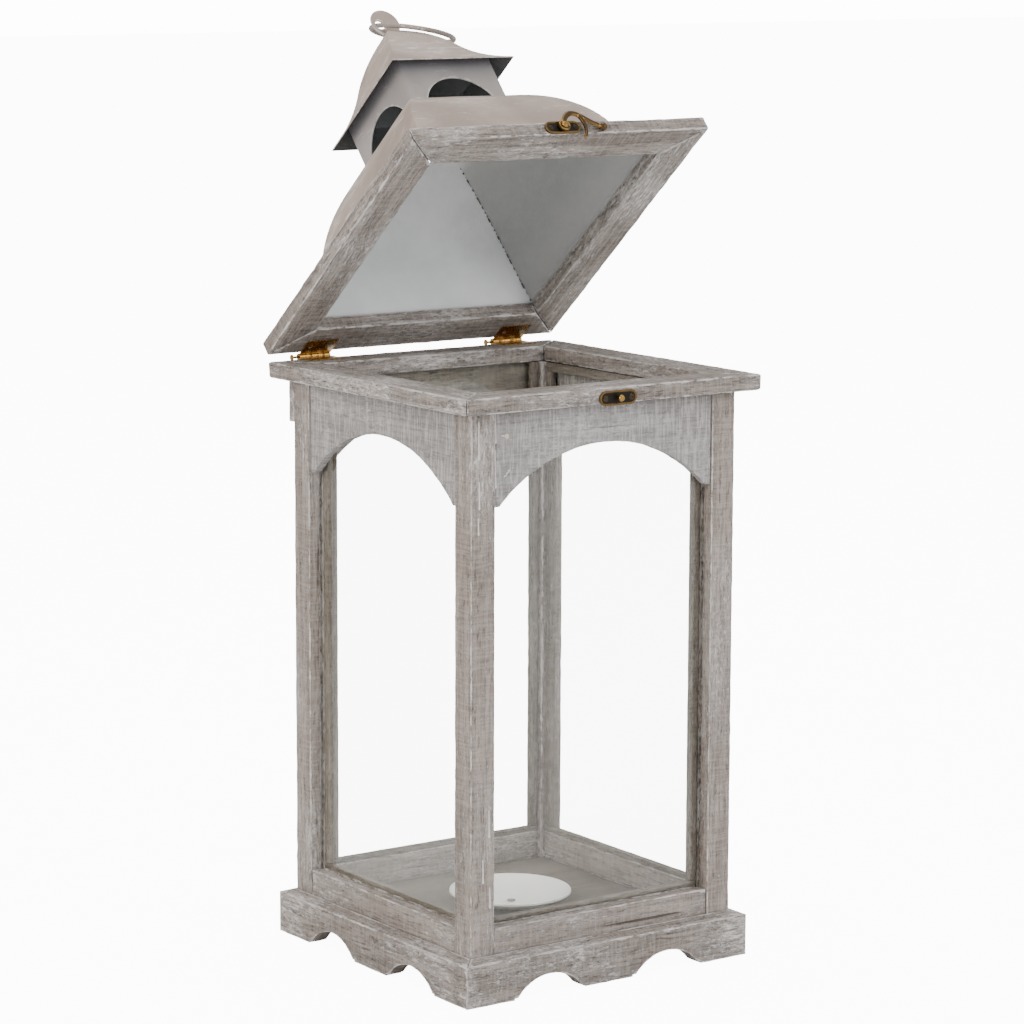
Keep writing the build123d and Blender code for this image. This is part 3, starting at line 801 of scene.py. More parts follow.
class Finishes:
    """Every finish on the lantern, built once."""

    def __init__(self) -> None:
        """Build the materials."""
        tilt = (LID_OPEN, 0.0, 0.0)
        light, dark = (0.385, 0.332, 0.298), (0.272, 0.226, 0.196)
        fleck, pit = (0.70, 0.67, 0.645), (0.060, 0.046, 0.038)
        self.wood = {
            Shade.limed: LimedWood("limed wood", light, dark, fleck, pit, streaks=0.6, bands=0.4,
                                   flecks=0.55, pits=0.5, rim=0.75, rim_reach=1.5).material(),
            Shade.smooth: LimedWood("smooth limed wood", (0.330, 0.318, 0.320), (0.268, 0.249, 0.244),
                                    fleck, pit, streaks=0.45, bands=0.3, flecks=0.36, pits=0.3,
                                    saw=0.30, rim=0.5, rim_reach=0.8).material(),
            Shade.worn: LimedWood("worn limed wood", light, (0.240, 0.202, 0.175), fleck, pit,
                                  streaks=0.7, bands=0.55, flecks=0.66, cover=0.015, pits=0.62,
                                  rim=0.75, rim_reach=2.3).material(),
            Shade.inner: LimedWood("inner wood", (0.245, 0.215, 0.178), (0.155, 0.130, 0.102),
                                   (0.42, 0.39, 0.35), pit, flecks=0.3, saw=0.1, rim=0.4,
                                   rim_reach=0.8).material(),
            Shade.floor: LimedWood("floor wood", (0.20, 0.174, 0.138), (0.16, 0.137, 0.107),
                                   (0.27, 0.245, 0.205), pit, streaks=0.3, bands=0.25, flecks=0.15,
                                   pits=0.2, rim=0.0).material(),
        }
        ground, low, streak = (0.35, 0.285, 0.245), (0.26, 0.208, 0.176), (0.60, 0.56, 0.53)
        self.sheet = BrushedPaint("painted sheet", ground, low, streak, 0.045, tilt).material()
        # The chimney's sheet carries painted shade: it darkens towards blue-grey up under the cap's
        # eave.
        self.chimney = BrushedPaint("shaded sheet", (0.33, 0.305, 0.295), (0.26, 0.24, 0.23),
                                    (0.50, 0.49, 0.48), 0.02, tilt,
                                    gloom=(0.085, 0.090, 0.115)).material()
        self.soot = PlainCoat("sooty inside", (0.085, 0.09, 0.092), (0.055, 0.058, 0.06),
                              0.7).material()
        self.wire = BrushedPaint("painted wire", (0.33, 0.28, 0.25), (0.2, 0.165, 0.145), streak,
                                 0.08, tilt, (260.0, 260.0, 260.0)).material()
        # The lining's away colour paints shade onto its faces that look to -X.
        self.lining = PlainCoat("pale lining", (0.64, 0.655, 0.655), (0.56, 0.575, 0.575), 0.62,
                                away=(0.32, 0.322, 0.318)).material()
        self.enamel = PlainCoat("white enamel", (0.88, 0.88, 0.845), (0.83, 0.825, 0.79), 0.34,
                                0.35).material()
        self.bronze = AntiqueMetal("dark brass", (0.36, 0.21, 0.055), (0.070, 0.038, 0.012), 0.45,
                                   0.27).material()
        self.dark = AntiqueMetal("dark screw", (0.10, 0.075, 0.045), (0.010, 0.008, 0.006), 0.25,
                                 0.3).material()
        self.plate = AntiqueMetal("dark plate", (0.27, 0.165, 0.05), (0.010, 0.007, 0.004), 0.14,
                                  0.36).material()
        self.paint = PlainCoat("white paint", (0.62, 0.61, 0.59), (0.52, 0.50, 0.48), 0.7).material()
        self.filler = PlainCoat("cream filler", (0.60, 0.55, 0.42), (0.50, 0.45, 0.33), 0.6).material()
        self.steel = AntiqueMetal("dull steel", (0.42, 0.41, 0.39), (0.12, 0.115, 0.11), 0.5,
                                  0.42).material()
        self.glass = ClearGlass("clear glass", (0.965, 0.975, 0.965)).material()


def dress(obj: Piece, *materials: Material) -> None:
    """Give a piece its materials in slot order."""
    obj.data.materials.clear()
    for material in materials:
        obj.data.materials.append(material)


# --- wooden parts ---------------------------------------------------------------------------
@dataclass
class Joiner:
    """Turns a plain block into a worn board."""

    finishes: Finishes
    arris: float = 0.8
    reach: float = 2.6
    depth: float = 0.9
    count: int = 0

    def shape(self, obj: Piece, along: int, steps: Sequence[float],
              arris: float | None = None) -> Piece:
        """Ease a board's edges, score it and store its grain.

        Args:
            obj: The board.
            along: Axis of its grain.
            steps: Spacing of the scoring along X, Y and Z.
            arris: Width of the eased edge.

        Returns:
            The board.
        """
        tree = corner_points(obj)
        modify(obj, "BEVEL", width=(arris or self.arris) * MM, segments=2, limit_method="ANGLE",
               angle_limit=math.radians(30), harden_normals=False)
        lattice(obj, steps)
        mark_edges(obj, tree, self.reach)
        mark_grain(obj, along)
        return obj

    def finish(self, obj: Piece, shade: Shade, body: Body, *nodes: str,
               depth: float | None = None) -> None:
        """Wear a board's edges, shade it and let it stand for its nodes.

        Args:
            obj: The board, in place.
            shade: Its finish.
            body: The body it rides on.
            nodes: The CAD nodes it stands for.
            depth: Deepest wear, if not the usual.
        """
        self.count += 1
        shift_grain(obj, 0.137 * self.count)
        if depth != 0.0:
            wear_down(obj, self.depth if depth is None else depth, 7.0)
        smooth(obj, 40)
        dress(obj, self.finishes.wood[shade])
        slot = "inner_wood" if shade in (Shade.inner, Shade.floor) else "limed_wood"
        hide_nodes(obj, body, slot, *nodes)


@dataclass
class Plinth:
    """The scalloped plinth and the floor board."""

    joiner: Joiner
    half: float = 108.0
    board: float = 12.0
    rise: float = 3.0
    scallops: tuple[float, float] = (-45.2, 45.2)
    arch_radius: float = 31.2
    crown: float = 12.8
    slope: float = 2.7
    foot_reach: float = 25.2
    floor_thick: float = 6.0

    def build(self) -> None:
        """Model one plinth board, copy it to four sides, and lay the floor."""
        inner = self.half - self.board
        board = cuboid("plinth", (-self.half, -self.half, 0),
                       (self.half, -BODY_HALF, PLINTH_TOP + self.rise))
        pick(board, "EDGE", lambda at, way: at.y < -self.half + 1 and at.z > PLINTH_TOP)
        with editing(board, "EDGE"):
            bpy.ops.transform.translate(value=(0, 0, -self.slope * MM))
        back = cuboid("plinth back", (-self.half, -BODY_HALF - 0.5, 0), (self.half, -inner, PLINTH_TOP))
        combine(board, back, "UNION")
        for side in (-1, 1):
            slice_off(board, (0, 0, 0), (side, 1, 0))
        for x in self.scallops:
            low = self.crown - self.arch_radius
            tool = rod("scallop", (x, -self.half - 5, low), (x, -inner + 5, low), self.arch_radius, 128)
            combine(board, tool)
            for side in (-1, 1):
                edge = x + side * self.foot_reach
                foot = cuboid("foot", (edge - 1.6, -self.half - 5, -5), (edge + 1.0, -inner + 5, 1.2))
                combine(board, foot)
        self.joiner.shape(board, 0, (5.0, 4.0, 4.0), 0.9)
        for side in Side:
            name = f"plinth_board_{side.name}"
            copy = turned(board, f"worn_{name}", side.value)
            self.joiner.finish(copy, Shade.worn, Body.case, name, depth=1.1)
        remove(board)
        floor = cuboid("worn_floor_panel", (-inner, -inner, PLINTH_TOP - self.floor_thick),
                       (inner, inner, PLINTH_TOP))
        self.joiner.shape(floor, 0, (12.0, 12.0, 0), 0.5)
        self.joiner.finish(floor, Shade.floor, Body.case, "floor_panel", depth=0.0)


@dataclass
class CaseFrame:
    """Posts, bottom rails, arched aprons, the cap ring and the back batten."""

    joiner: Joiner
    groove_wide: float = 3.0
    groove_deep: float = 3.0
    arch_radius: float = 108.7
    arch_low: float = 305.0
    arch_middle: float = 229.3
    apron_front: float = 98.8
    apron_thick: float = 6.4
    rail_inset: float = 0.6
    rail_back: float = 84.6
    batten_low: float = 335.0
    batten_thick: float = 6.0
    plinth_nails: tuple[float, float, float] = (102.0, 5.0, 17.0)
    post_nails: tuple[float, float] = (91.5, 52.5)

    def posts(self) -> None:
        """Model one post with its glass grooves and copy it to each corner."""
        post = cuboid("post", (-BODY_HALF, -BODY_HALF, PLINTH_TOP), (-POST_IN, -POST_IN, CAP_LOW))
        g0, g1 = -GLASS_MID - self.groove_wide / 2, -GLASS_MID + self.groove_wide / 2
        deep = -POST_IN - self.groove_deep
        low, high = PLINTH_TOP - 5, CAP_LOW + 5
        combine(post, cuboid("groove", (deep, g0, low), (-POST_IN + 5, g1, high)))
        combine(post, cuboid("groove", (g0, deep, low), (g1, -POST_IN + 5, high)))
        self.joiner.shape(post, 2, (4.5, 4.5, 6.0), 0.8)
        for corner in Corner:
            name = f"post_{corner.name}"
            copy = turned(post, f"worn_{name}", corner.value)
            self.joiner.finish(copy, Shade.limed, Body.case, name)
        remove(post)

    def rails(self) -> None:
        """Model one bottom rail and copy it to each side."""
        rail = cuboid("rail", (-POST_IN, -BODY_HALF + self.rail_inset, PLINTH_TOP),
                      (POST_IN, -self.rail_back, RAIL_TOP))
        half, end = self.groove_wide / 2, POST_IN + 5
        groove = cuboid("groove", (-end, -GLASS_MID - half, RAIL_TOP - self.groove_deep),
                        (end, -GLASS_MID + half, RAIL_TOP + 5))
        combine(rail, groove)
        self.joiner.shape(rail, 0, (6.0, 5.0, 4.0))
        for side in Side:
            name = f"bottom_rail_{side.name}"
            self.joiner.finish(turned(rail, f"worn_{name}", side.value), Shade.limed, Body.case, name)
        remove(rail)

    def aprons(self) -> None:
        """Model one arched apron and copy it to each side."""
        front, back = -self.apron_front, -self.apron_front + self.apron_thick
        apron = cuboid("apron", (-POST_IN, front, self.arch_low), (POST_IN, back, CAP_LOW))
        tool = rod("arch", (0, front - 5, self.arch_middle), (0, back + 5, self.arch_middle),
                   self.arch_radius, 256)
        combine(apron, tool)
        self.joiner.shape(apron, 0, (4.5, 0, 4.5), 0.6)
        for side in Side:
            name = f"apron_{side.name}"
            shade = Shade.inner if side is Side.back else Shade.smooth
            self.joiner.finish(turned(apron, f"worn_{name}", side.value), shade, Body.case, name)
        remove(apron)

    def cap_ring(self) -> None:
        """Model one mitred rail of the cap ring and copy it to each side."""
        rail = cuboid("cap", (-CAP_HALF, -CAP_HALF, CAP_LOW), (CAP_HALF, -RING_INNER, CAP_HIGH))
        for side in (-1, 1):
            slice_off(rail, (0, 0, 0), (side, 1, 0))
        self.joiner.shape(rail, 0, (5.0, 5.0, 3.5), 1.1)
        for side in Side:
            name = f"cap_rail_{side.name}"
            copy = turned(rail, f"worn_{name}", side.value)
            self.joiner.finish(copy, Shade.worn, Body.case, name, depth=1.1)
        remove(rail)

    def batten(self) -> None:
        """Model the batten behind the back apron."""
        board = cuboid("worn_rear_batten", (-BODY_HALF, BODY_HALF, self.batten_low),
                       (BODY_HALF, BODY_HALF + self.batten_thick, CAP_LOW))
        self.joiner.shape(board, 0, (6.0, 0, 5.0))
        self.joiner.finish(board, Shade.limed, Body.case, "rear_batten")

    def nails(self) -> None:
        """Drive the nails at the plinth's corners and through the posts."""
        spots: list[tuple[Point, Point]] = []
        across, low, high = self.plinth_nails
        post_x, post_z = self.post_nails
        for turn in (1, -1):
            for x in (-across, across):
                for z in (low, high):
                    spots.append(((x * turn, -107.9 * turn, z), (0, -turn, 0)))
            for x in (-post_x, post_x):
                spots.append(((x * turn, -99.9 * turn, post_z), (0, -turn, 0)))
        heads = [nail_head(f"nail {i}", at, way, 1.1) for i, (at, way) in enumerate(spots)]
        finish_metal(join(heads, "worn_frame_nails"), self.joiner.finishes.steel, Body.case,
                     "screw_steel", "frame_nails")

    def build(self) -> None:
        """Build the whole frame."""
        self.posts()
        self.rails()
        self.aprons()
        self.cap_ring()
        self.batten()
        self.nails()


def nail_head(name: str, at: Sequence[float], way: Sequence[float], radius: float) -> Piece:
    """Model a nail: a domed head standing 0.3 proud and a short shank.

    Args:
        name: The object's name.
        at: Where it enters the surface.
        way: Outward direction of the head.
        radius: Head radius.

    Returns:
        The nail.
    """
    out, point = Vector(way), Vector(at)
    head = rod(name, point - out * 0.4, point + out * 0.28, radius, 20, radius * 0.8)
    combine(head, rod("shank", point - out * 6, point, radius * 0.6, 12), "UNION")
    return head


def finish_metal(obj: Piece, material: Material, body: Body, slot: str,
                 *nodes: str, arris: float = 0.12, angle: float = 30.0) -> None:
    """Ease a metal piece's edges, mark them and dress it.

    Args:
        obj: The piece.
        material: Its finish.
        body: The body it rides on.
        slot: The record's slot; not used.
        nodes: The CAD nodes it stands for.
        arris: Width of the eased edge.
        angle: Sharpness past which an edge is eased.
    """
    tree = corner_points(obj)
    modify(obj, "BEVEL", width=arris * MM, segments=2, limit_method="ANGLE",
           angle_limit=math.radians(angle), harden_normals=False)
    mark_edges(obj, tree, 1.0)
    smooth(obj, 35)
    dress(obj, material)
    hide_nodes(obj, body, slot, *nodes)


@dataclass
class Glazing:
    """The panes and the strips that hold them from inside."""

    joiner: Joiner
    finishes: Finishes
    glass: float = 2.0
    bead_front: float = 88.8
    bead_back: float = 84.6
    bead_wide: float = 6.0
    bead_gap: float = 0.6
    bead_rise: float = 3.6

    def panes(self) -> None:
        """Model one pane with ground edges and copy it to each side."""
        half = POST_IN + 2.7
        pane = cuboid("pane", (-half, -GLASS_MID - self.glass / 2, RAIL_TOP - 3),
                      (half, -GLASS_MID + self.glass / 2, CAP_LOW - 0.3))
        modify(pane, "BEVEL", width=0.25 * MM, segments=1, limit_method="ANGLE",
               angle_limit=math.radians(30))
        for side in Side:
            name = f"glass_pane_{side.name}"
            copy = turned(pane, f"clear_{name}", side.value)
            dress(copy, self.finishes.glass)
            hide_nodes(copy, Body.case, "clear_glass", name)
        remove(pane)

    def beads(self) -> None:
        """Model the strips of each pane."""
        outer = POST_IN - self.bead_gap
        low = RAIL_TOP + self.bead_rise
        for side in Side:
            topped = side in (Side.left, Side.right)
            high = CAP_LOW - self.bead_wide if topped else CAP_LOW
            strips = []
            bars = [((-outer, RAIL_TOP), (outer, low), 0)]
            bars += [((-outer, low), (-outer + self.bead_wide, high), 2)]
            bars += [((outer - self.bead_wide, low), (outer, high), 2)]
            if topped:
                bars.append(((-outer, high), (outer, CAP_LOW), 0))
            for (x0, z0), (x1, z1), along in bars:
                bar = cuboid("strip", (x0, -self.bead_front, z0), (x1, -self.bead_back, z1))
                steps = (8.0, 0, 0) if along == 0 else (0, 0, 8.0)
                strips.append(self.joiner.shape(bar, along, steps, 0.5))
            name = f"glazing_beads_{side.name}"
            beads = join(strips, f"worn_{name}")
            place(beads, Matrix.Rotation(math.radians(side.value), 4, "Z"))
            self.joiner.finish(beads, Shade.inner, Body.case, name, depth=0.5)

    def build(self) -> None:
        """Build panes and strips."""
        self.panes()
        self.beads()


@dataclass
class CandlePlate:
    """The dished plate in the middle of the floor and its screw."""

    finishes: Finishes
    thick: float = 1.3
    seat: float = 11.0
    rim: tuple[float, float] = (38.5, 8.4)
    side: tuple[float, float] = (28.0, 3.1)
    screw_rise: float = 2.3

    def build(self) -> None:
        """Raise the dish from a disc, ring by ring, and set the screw."""
        deselect()
        bpy.ops.mesh.primitive_circle_add(vertices=96, radius=3 * MM, fill_type="NGON",
                                          location=(0, 0, (PLINTH_TOP + self.thick) * MM))
        dish = bpy.context.object
        dish.name = "enamel_candle_plate"
        settle(dish)
        line = [(self.seat, 0.0)]
        wide, high = self.rim
        line += arc_points((self.seat, 0.0), self.side, (wide - 0.6, high - 0.5), 10)[1:]
        line += [(wide - 0.2, high - 0.2), (wide, high - 0.6)]
        loft(dish, 3.0, 0.0, line, PLINTH_TOP + self.thick)
        recalculate(dish, (0, 0, 500))
        up = sum(f.normal.z for f in dish.data.polygons)
        if up < 0:
            with editing(dish, "FACE"):
                bpy.ops.mesh.select_all(action="SELECT")
                bpy.ops.mesh.flip_normals()
        modify(dish, "SOLIDIFY", thickness=(self.thick - 0.1) * MM, offset=-1.0)
        mark_edges(dish, corner_points(dish, 50), 1.0)
        smooth(dish, 50)
        dress(dish, self.finishes.enamel)
        hide_nodes(dish, Body.case, "enamel", "candle_plate")
        top = PLINTH_TOP + self.screw_rise
        screw = screw_head("dull_candle_plate_screw", (0, 0, top), (0, 0, 1), 2.9, 1.0)
        finish_metal(screw, self.finishes.steel, Body.case, "screw_steel", "candle_plate_screw")


def loft(obj: Piece, half: float, level: float, line: Sequence[tuple[float, float]],
         base: float) -> None:
    """Grow an object from its open edge, ring by ring.

    Args:
        obj: An object whose open edge is a ring about the Z axis.
        half: That ring's half width.
        level: Its height over the base.
        line: Half width and height of each new ring.
        base: Height of the base.
    """
    with editing(obj, "EDGE"):
        bpy.ops.mesh.select_all(action="SELECT")
        bpy.ops.mesh.region_to_loop()
        for wide, high in line:
            bpy.ops.mesh.extrude_region_move(
                TRANSFORM_OT_translate={"value": (0, 0, (high - level) * MM)})
            ratio = wide / half
            bpy.ops.transform.resize(value=(ratio, ratio, 1),
                                     center_override=(0, 0, (base + high) * MM))
            half, level = wide, high


def screw_head(name: str, at: Sequence[float], way: Sequence[float], radius: float,
               thick: float) -> Piece:
    """Model a cross-recessed screw head with a short shank.

    Args:
        name: The object's name.
        at: Top of the head.
        way: Outward direction.
        radius: Head radius.
        thick: Head thickness.

    Returns:
        The screw.
    """
    out, top = Vector(way), Vector(at)
    head = rod(name, top - out * thick, top - out * 0.15, radius * 0.8, 28, radius)
    combine(head, rod("crown", top - out * 0.16, top, radius, 28, radius * 0.72), "UNION")
    turn = out.to_track_quat("Z", "Y").to_matrix().to_4x4()
    move = Matrix.Translation(top * MM)
    for angle in (20, 110):
        slot = cuboid("slot", (-radius * 0.62, -radius * 0.11, -0.45),
                      (radius * 0.62, radius * 0.11, 1))
        place(slot, move @ turn @ Matrix.Rotation(math.radians(angle), 4, "Z"))
        combine(head, slot)
    shank = rod("shank", top - out * (thick + 4), top - out * (thick - 0.1), radius * 0.5, 16)
    combine(head, shank, "UNION")
    return head


# --- hardware -------------------------------------------------------------------------------
@dataclass
class Hinges:
    """Two butt hinges with loose pins."""

    finishes: Finishes
    places: tuple[float, float] = (-75.5, 75.5)
    half: float = 11.6
    leaf: float = 0.7
    long: float = 14.0
    knuckle: float = 2.3
    pin: float = 0.75
    knuckles: int = 5
    edge: float = 0.3
    gap: float = 0.12
    pin_out: float = 4.4
    screw_x: float = 7.0
    screw_in: float = 7.5

    def along(self, name: str, start: float, end: float, radius: float, sides: int) -> Piece:
        """Add a round bar on the hinge line between two places along X."""
        return rod(name, (start, *PIVOT[1:]), (end, *PIVOT[1:]), radius, sides)

    def leaf_piece(self, x: float, name: str, owner: int, low: float) -> Piece:
        """Model one leaf with its knuckles.

        Args:
            x: Middle of the hinge.
            name: Object name.
            owner: 0 or 1, which knuckles it has.
            low: Height of its underside.

        Returns:
            The leaf.
        """
        back = CAP_HALF + self.edge
        leaf = cuboid(name, (x - self.half, back - self.long, low),
                      (x + self.half, back, low + self.leaf))
        pitch = 2 * self.half / self.knuckles
        for i in range(owner, self.knuckles, 2):
            a = x - self.half + i * pitch + self.gap
            b = a + pitch - 2 * self.gap
            roll = self.along("knuckle", a, b, self.knuckle, 32)
            arm = cuboid("arm", (a, back - 1, low + 0.01), (b, PIVOT[1], low + self.leaf - 0.01))
            combine(roll, arm, "UNION")
            combine(leaf, roll, "UNION")
        combine(leaf, self.along("bore", x - 20, x + 20, self.pin + 0.1, 20))
        return leaf

    def screws(self, low: float, way: float, name: str) -> Piece:
        """Model the four screws of the leaves on one side."""
        heads = []
        for x in self.places:
            for dx in (-self.screw_x, self.screw_x):
                spot = (x + dx, CAP_HALF - self.screw_in, low)
                heads.append(screw_head(f"{name} {x} {dx}", spot, (0, 0, way), 1.95, 0.7))
        return join(heads, name)

    def build(self) -> None:
        """Build leaves, pins and screws."""
        brass, steel = self.finishes.bronze, self.finishes.steel
        for label, x in zip(("left", "right"), self.places):
            leaf = self.leaf_piece(x, f"brass_hinge_leaf_case_{label}", 0, CAP_HIGH)
            finish_metal(leaf, brass, Body.case, "antique_brass", f"hinge_leaf_case_{label}")
            leaf = self.leaf_piece(x, f"brass_hinge_leaf_lid_{label}", 1, LID_LOW - self.leaf)
            place(leaf, lid_turn())
            finish_metal(leaf, brass, Body.lid, "antique_brass", f"hinge_leaf_lid_{label}")
            a, b = x - self.half - self.pin_out, x + self.half + 0.4
            pin = self.along(f"brass_hinge_pin_{label}", a, b, self.pin, 24)
            combine(pin, self.along("head", a - 0.8, a + 0.05, 1.9, 28), "UNION")
            finish_metal(pin, brass, Body.case, "antique_brass", f"hinge_pin_{label}")
        case = self.screws(CAP_HIGH + self.leaf + 0.1, 1, "dull_hinge_case_screws")
        finish_metal(case, steel, Body.case, "screw_steel", "hinge_case_screws")
        lid = self.screws(LID_LOW - self.leaf - 0.1, -1, "dull_hinge_lid_screws")
        place(lid, lid_turn())
        finish_metal(lid, steel, Body.lid, "screw_steel", "hinge_lid_screws")


@dataclass
class Latch:
    """The keeper with its stud, the hook's plate, the hook and its rivet."""

    finishes: Finishes
    x: float = -0.6
    keeper_z: float = 367.1
    hook_z: float = 380.0
    plate: float = 1.2
    back: float = 1.9
    thick: float = 2.2
    face: float = field(init=False, default=-CAP_HALF - 1.2)

    def plate_piece(self, name: str, long: float, wide: float, z: float) -> Piece:
        """Model an oblong plate with round ends and a raised rim.

        Args:
            name: Object name.
            long: Length of the plate.
            wide: Width of the plate.
            z: Height of its middle.

        Returns:
            The plate.
        """
        low = (self.x - long / 2, self.face, z - wide / 2)
        high = (self.x + long / 2, -CAP_HALF, z + wide / 2)
        plate = cuboid(name, low, high)
        pick(plate, "EDGE", lambda at, way: abs(way.y) > 0.9)
        with editing(plate, "EDGE"):
            bpy.ops.mesh.bevel(offset=wide / 2 * MM, segments=12, affect="EDGES")
            bpy.ops.mesh.select_all(action="SELECT")
            bpy.ops.mesh.remove_doubles(threshold=0.05 * MM)
        pick(plate, "FACE", lambda at, normal: normal.y < -0.9)
        with editing(plate, "FACE"):
            bpy.ops.mesh.inset(thickness=0.35 * MM, depth=0.45 * MM)
            bpy.ops.mesh.inset(thickness=0.45 * MM, depth=0.0)
            bpy.ops.mesh.inset(thickness=0.3 * MM, depth=-0.45 * MM)
        lattice(plate, (0.9, 0, 0.9))
        return plate

    def sweep(self, name: str, points: Sequence[tuple[float, float]], radius: float,
              ends: tuple[float, float] = (1.0, 1.0)) -> Piece:
        """Bend a bar of oval section through points on the plate's face.

        Args:
            name: Object name.
            points: Places as (x, z) from the rivet.
            radius: Half the bar's width.
            ends: Share of that width at each end.

        Returns:
            The bar as a mesh.
        """
        deselect()
        bpy.ops.curve.primitive_nurbs_path_add(location=(0, 0, 0))
        curve = bpy.context.object
        data = curve.data
        data.splines.clear()
        spline = data.splines.new("NURBS")
        spline.points.add(len(points) - 1)
        for i, (x, z) in enumerate(points):
            spline.points[i].co = (x * MM, 0, z * MM, 1)
            share = i / (len(points) - 1)
            spline.points[i].radius = ends[0] + (ends[1] - ends[0]) * share
        spline.order_u = 4
        spline.use_endpoint_u = True
        spline.resolution_u = 10
        data.bevel_depth = radius * MM
        data.bevel_resolution = 5
        data.use_fill_caps = True
        activate(curve)
        bpy.ops.object.convert(target="MESH")
        bar = bpy.context.object
        bar.name = name
        recalculate(bar)
        place(bar, Matrix.Scale(self.thick / 2 / radius, 4, (0, 1, 0)))
        return bar

    def hook(self) -> Piece:
        """Model the hook about its rivet, then set it on the plate."""
        lip = self.hook_z - self.keeper_z + 2.1
        tip = (lip * math.cos(math.radians(-42)), lip * math.sin(math.radians(-42)))
        half = self.thick / 2
        hook = rod("brass_latch_hook", (0, -half + 0.4, 0), (0, half, 0), 3.9, 40)
        coil = [(3.1 * math.cos(a / 10), 3.1 * math.sin(a / 10)) for a in range(4, 62, 5)]
        combine(hook, self.sweep("coil", coil, 1.05, (0.7, 1.1)), "UNION")
        neck = [(0.2, 2.0), (2.0, 5.4), (6.0, 8.8), (11.0, 9.0), (16.5, 5.6), (21.0, 1.2), (27.0, -1.8)]
        tongue = [(13.6, 7.2), (15.6, 3.2), (15.5, -2.4), (14.0, -6.6), tip]
        combine(hook, self.sweep("neck", neck, 1.85, (1.1, 0.9)), "UNION")
        combine(hook, self.sweep("tongue", tongue, 1.1, (1.25, 0.9)), "UNION")
        deselect()
        bpy.ops.mesh.primitive_uv_sphere_add(segments=24, ring_count=16, radius=2.75 * MM,
                                             location=(28.2 * MM, 0, -2.3 * MM))
        ball = bpy.context.object
        settle(ball)
        combine(hook, ball, "UNION")
        combine(hook, rod("bore", (0, -5, 0), (0, 5, 0), 1.3, 24))
        middle = Vector((self.x, -CAP_HALF - self.back - half, self.hook_z)) * MM
        return place(hook, Matrix.Translation(middle))

    def screws(self, name: str, spread: float, z: float) -> Piece:
        """Model the two screws of a plate."""
        heads = []
        for side in (-1, 1):
            spot = (self.x + side * spread, self.face - 0.35, z)
            heads.append(screw_head(f"{name} {side}", spot, (0, -1, 0), 1.9, 0.7))
        return join(heads, name)

    def bar(self, name: str, start: float, end: float, z: float, radius: float, sides: int,
            tip: float | None = None) -> Piece:
        """Add a round bar or cone that stands out of the latch between two places along Y."""
        return rod(name, (self.x, start, z), (self.x, end, z), radius, sides, tip)

    def build(self) -> None:
        """Build the latch on the case and on the lid."""
        brass, dark = self.finishes.bronze, self.finishes.dark
        keeper = self.plate_piece("brass_latch_keeper", 27.7, 9.2, self.keeper_z)
        end = -CAP_HALF - self.back - self.thick - 0.3
        stud = self.bar("stud", self.face + 0.2, end + 0.3, self.keeper_z, 1.0, 24)
        combine(stud, self.bar("head", end, end - 1.1, self.keeper_z, 2.2, 32, 1.5), "UNION")
        finish_metal(keeper, self.finishes.plate, Body.case, "antique_brass", "latch_keeper")
        finish_metal(stud, brass, Body.case, "antique_brass")
        join([keeper, stud], "brass_latch_keeper")
        finish_metal(self.screws("dull_keeper_screws", 9.8, self.keeper_z), dark, Body.case,
                     "screw_steel", "keeper_screws")
        plate = place(self.plate_piece("brass_latch_plate", 26.0, 9.0, self.hook_z), lid_turn())
        finish_metal(plate, self.finishes.plate, Body.lid, "antique_brass", "latch_plate")
        screws = place(self.screws("dull_latch_screws", 9.6, self.hook_z), lid_turn())
        finish_metal(screws, dark, Body.lid, "screw_steel", "latch_screws")
        front = -CAP_HALF - self.back - self.thick - 0.2
        rivet = self.bar("brass_latch_rivet", self.face, front, self.hook_z, 1.15, 24)
        combine(rivet, self.bar("dome", front, front - 0.95, self.hook_z, 2.3, 32, 1.3), "UNION")
        finish_metal(place(rivet, lid_turn()), brass, Body.lid, "antique_brass", "latch_rivet")
        hook = place(self.hook(), lid_turn())
        finish_metal(hook, self.finishes.bronze, Body.hook, "antique_brass", "latch_hook", arris=0.2,
                     angle=45)


# --- lid ------------------------------------------------------------------------------------
@dataclass
class LidFrame:
    """The mitred wooden frame of the lid."""

    joiner: Joiner

    def build(self) -> None:
        """Model one rail, copy it to each side and open the lid."""
        rail = cuboid("lid rail", (-CAP_HALF, -CAP_HALF, LID_LOW), (CAP_HALF, -RING_INNER, LID_HIGH))
        for side in (-1, 1):
            slice_off(rail, (0, 0, 0), (side, 1, 0))
        self.joiner.shape(rail, 0, (5.0, 5.0, 3.3), 1.1)
        for side in Side:
            name = f"lid_rail_{side.name}"
            copy = turned(rail, f"worn_{name}", side.value)
            place(copy, lid_turn())
            self.joiner.finish(copy, Shade.worn, Body.lid, name, depth=1.1)
        remove(rail)


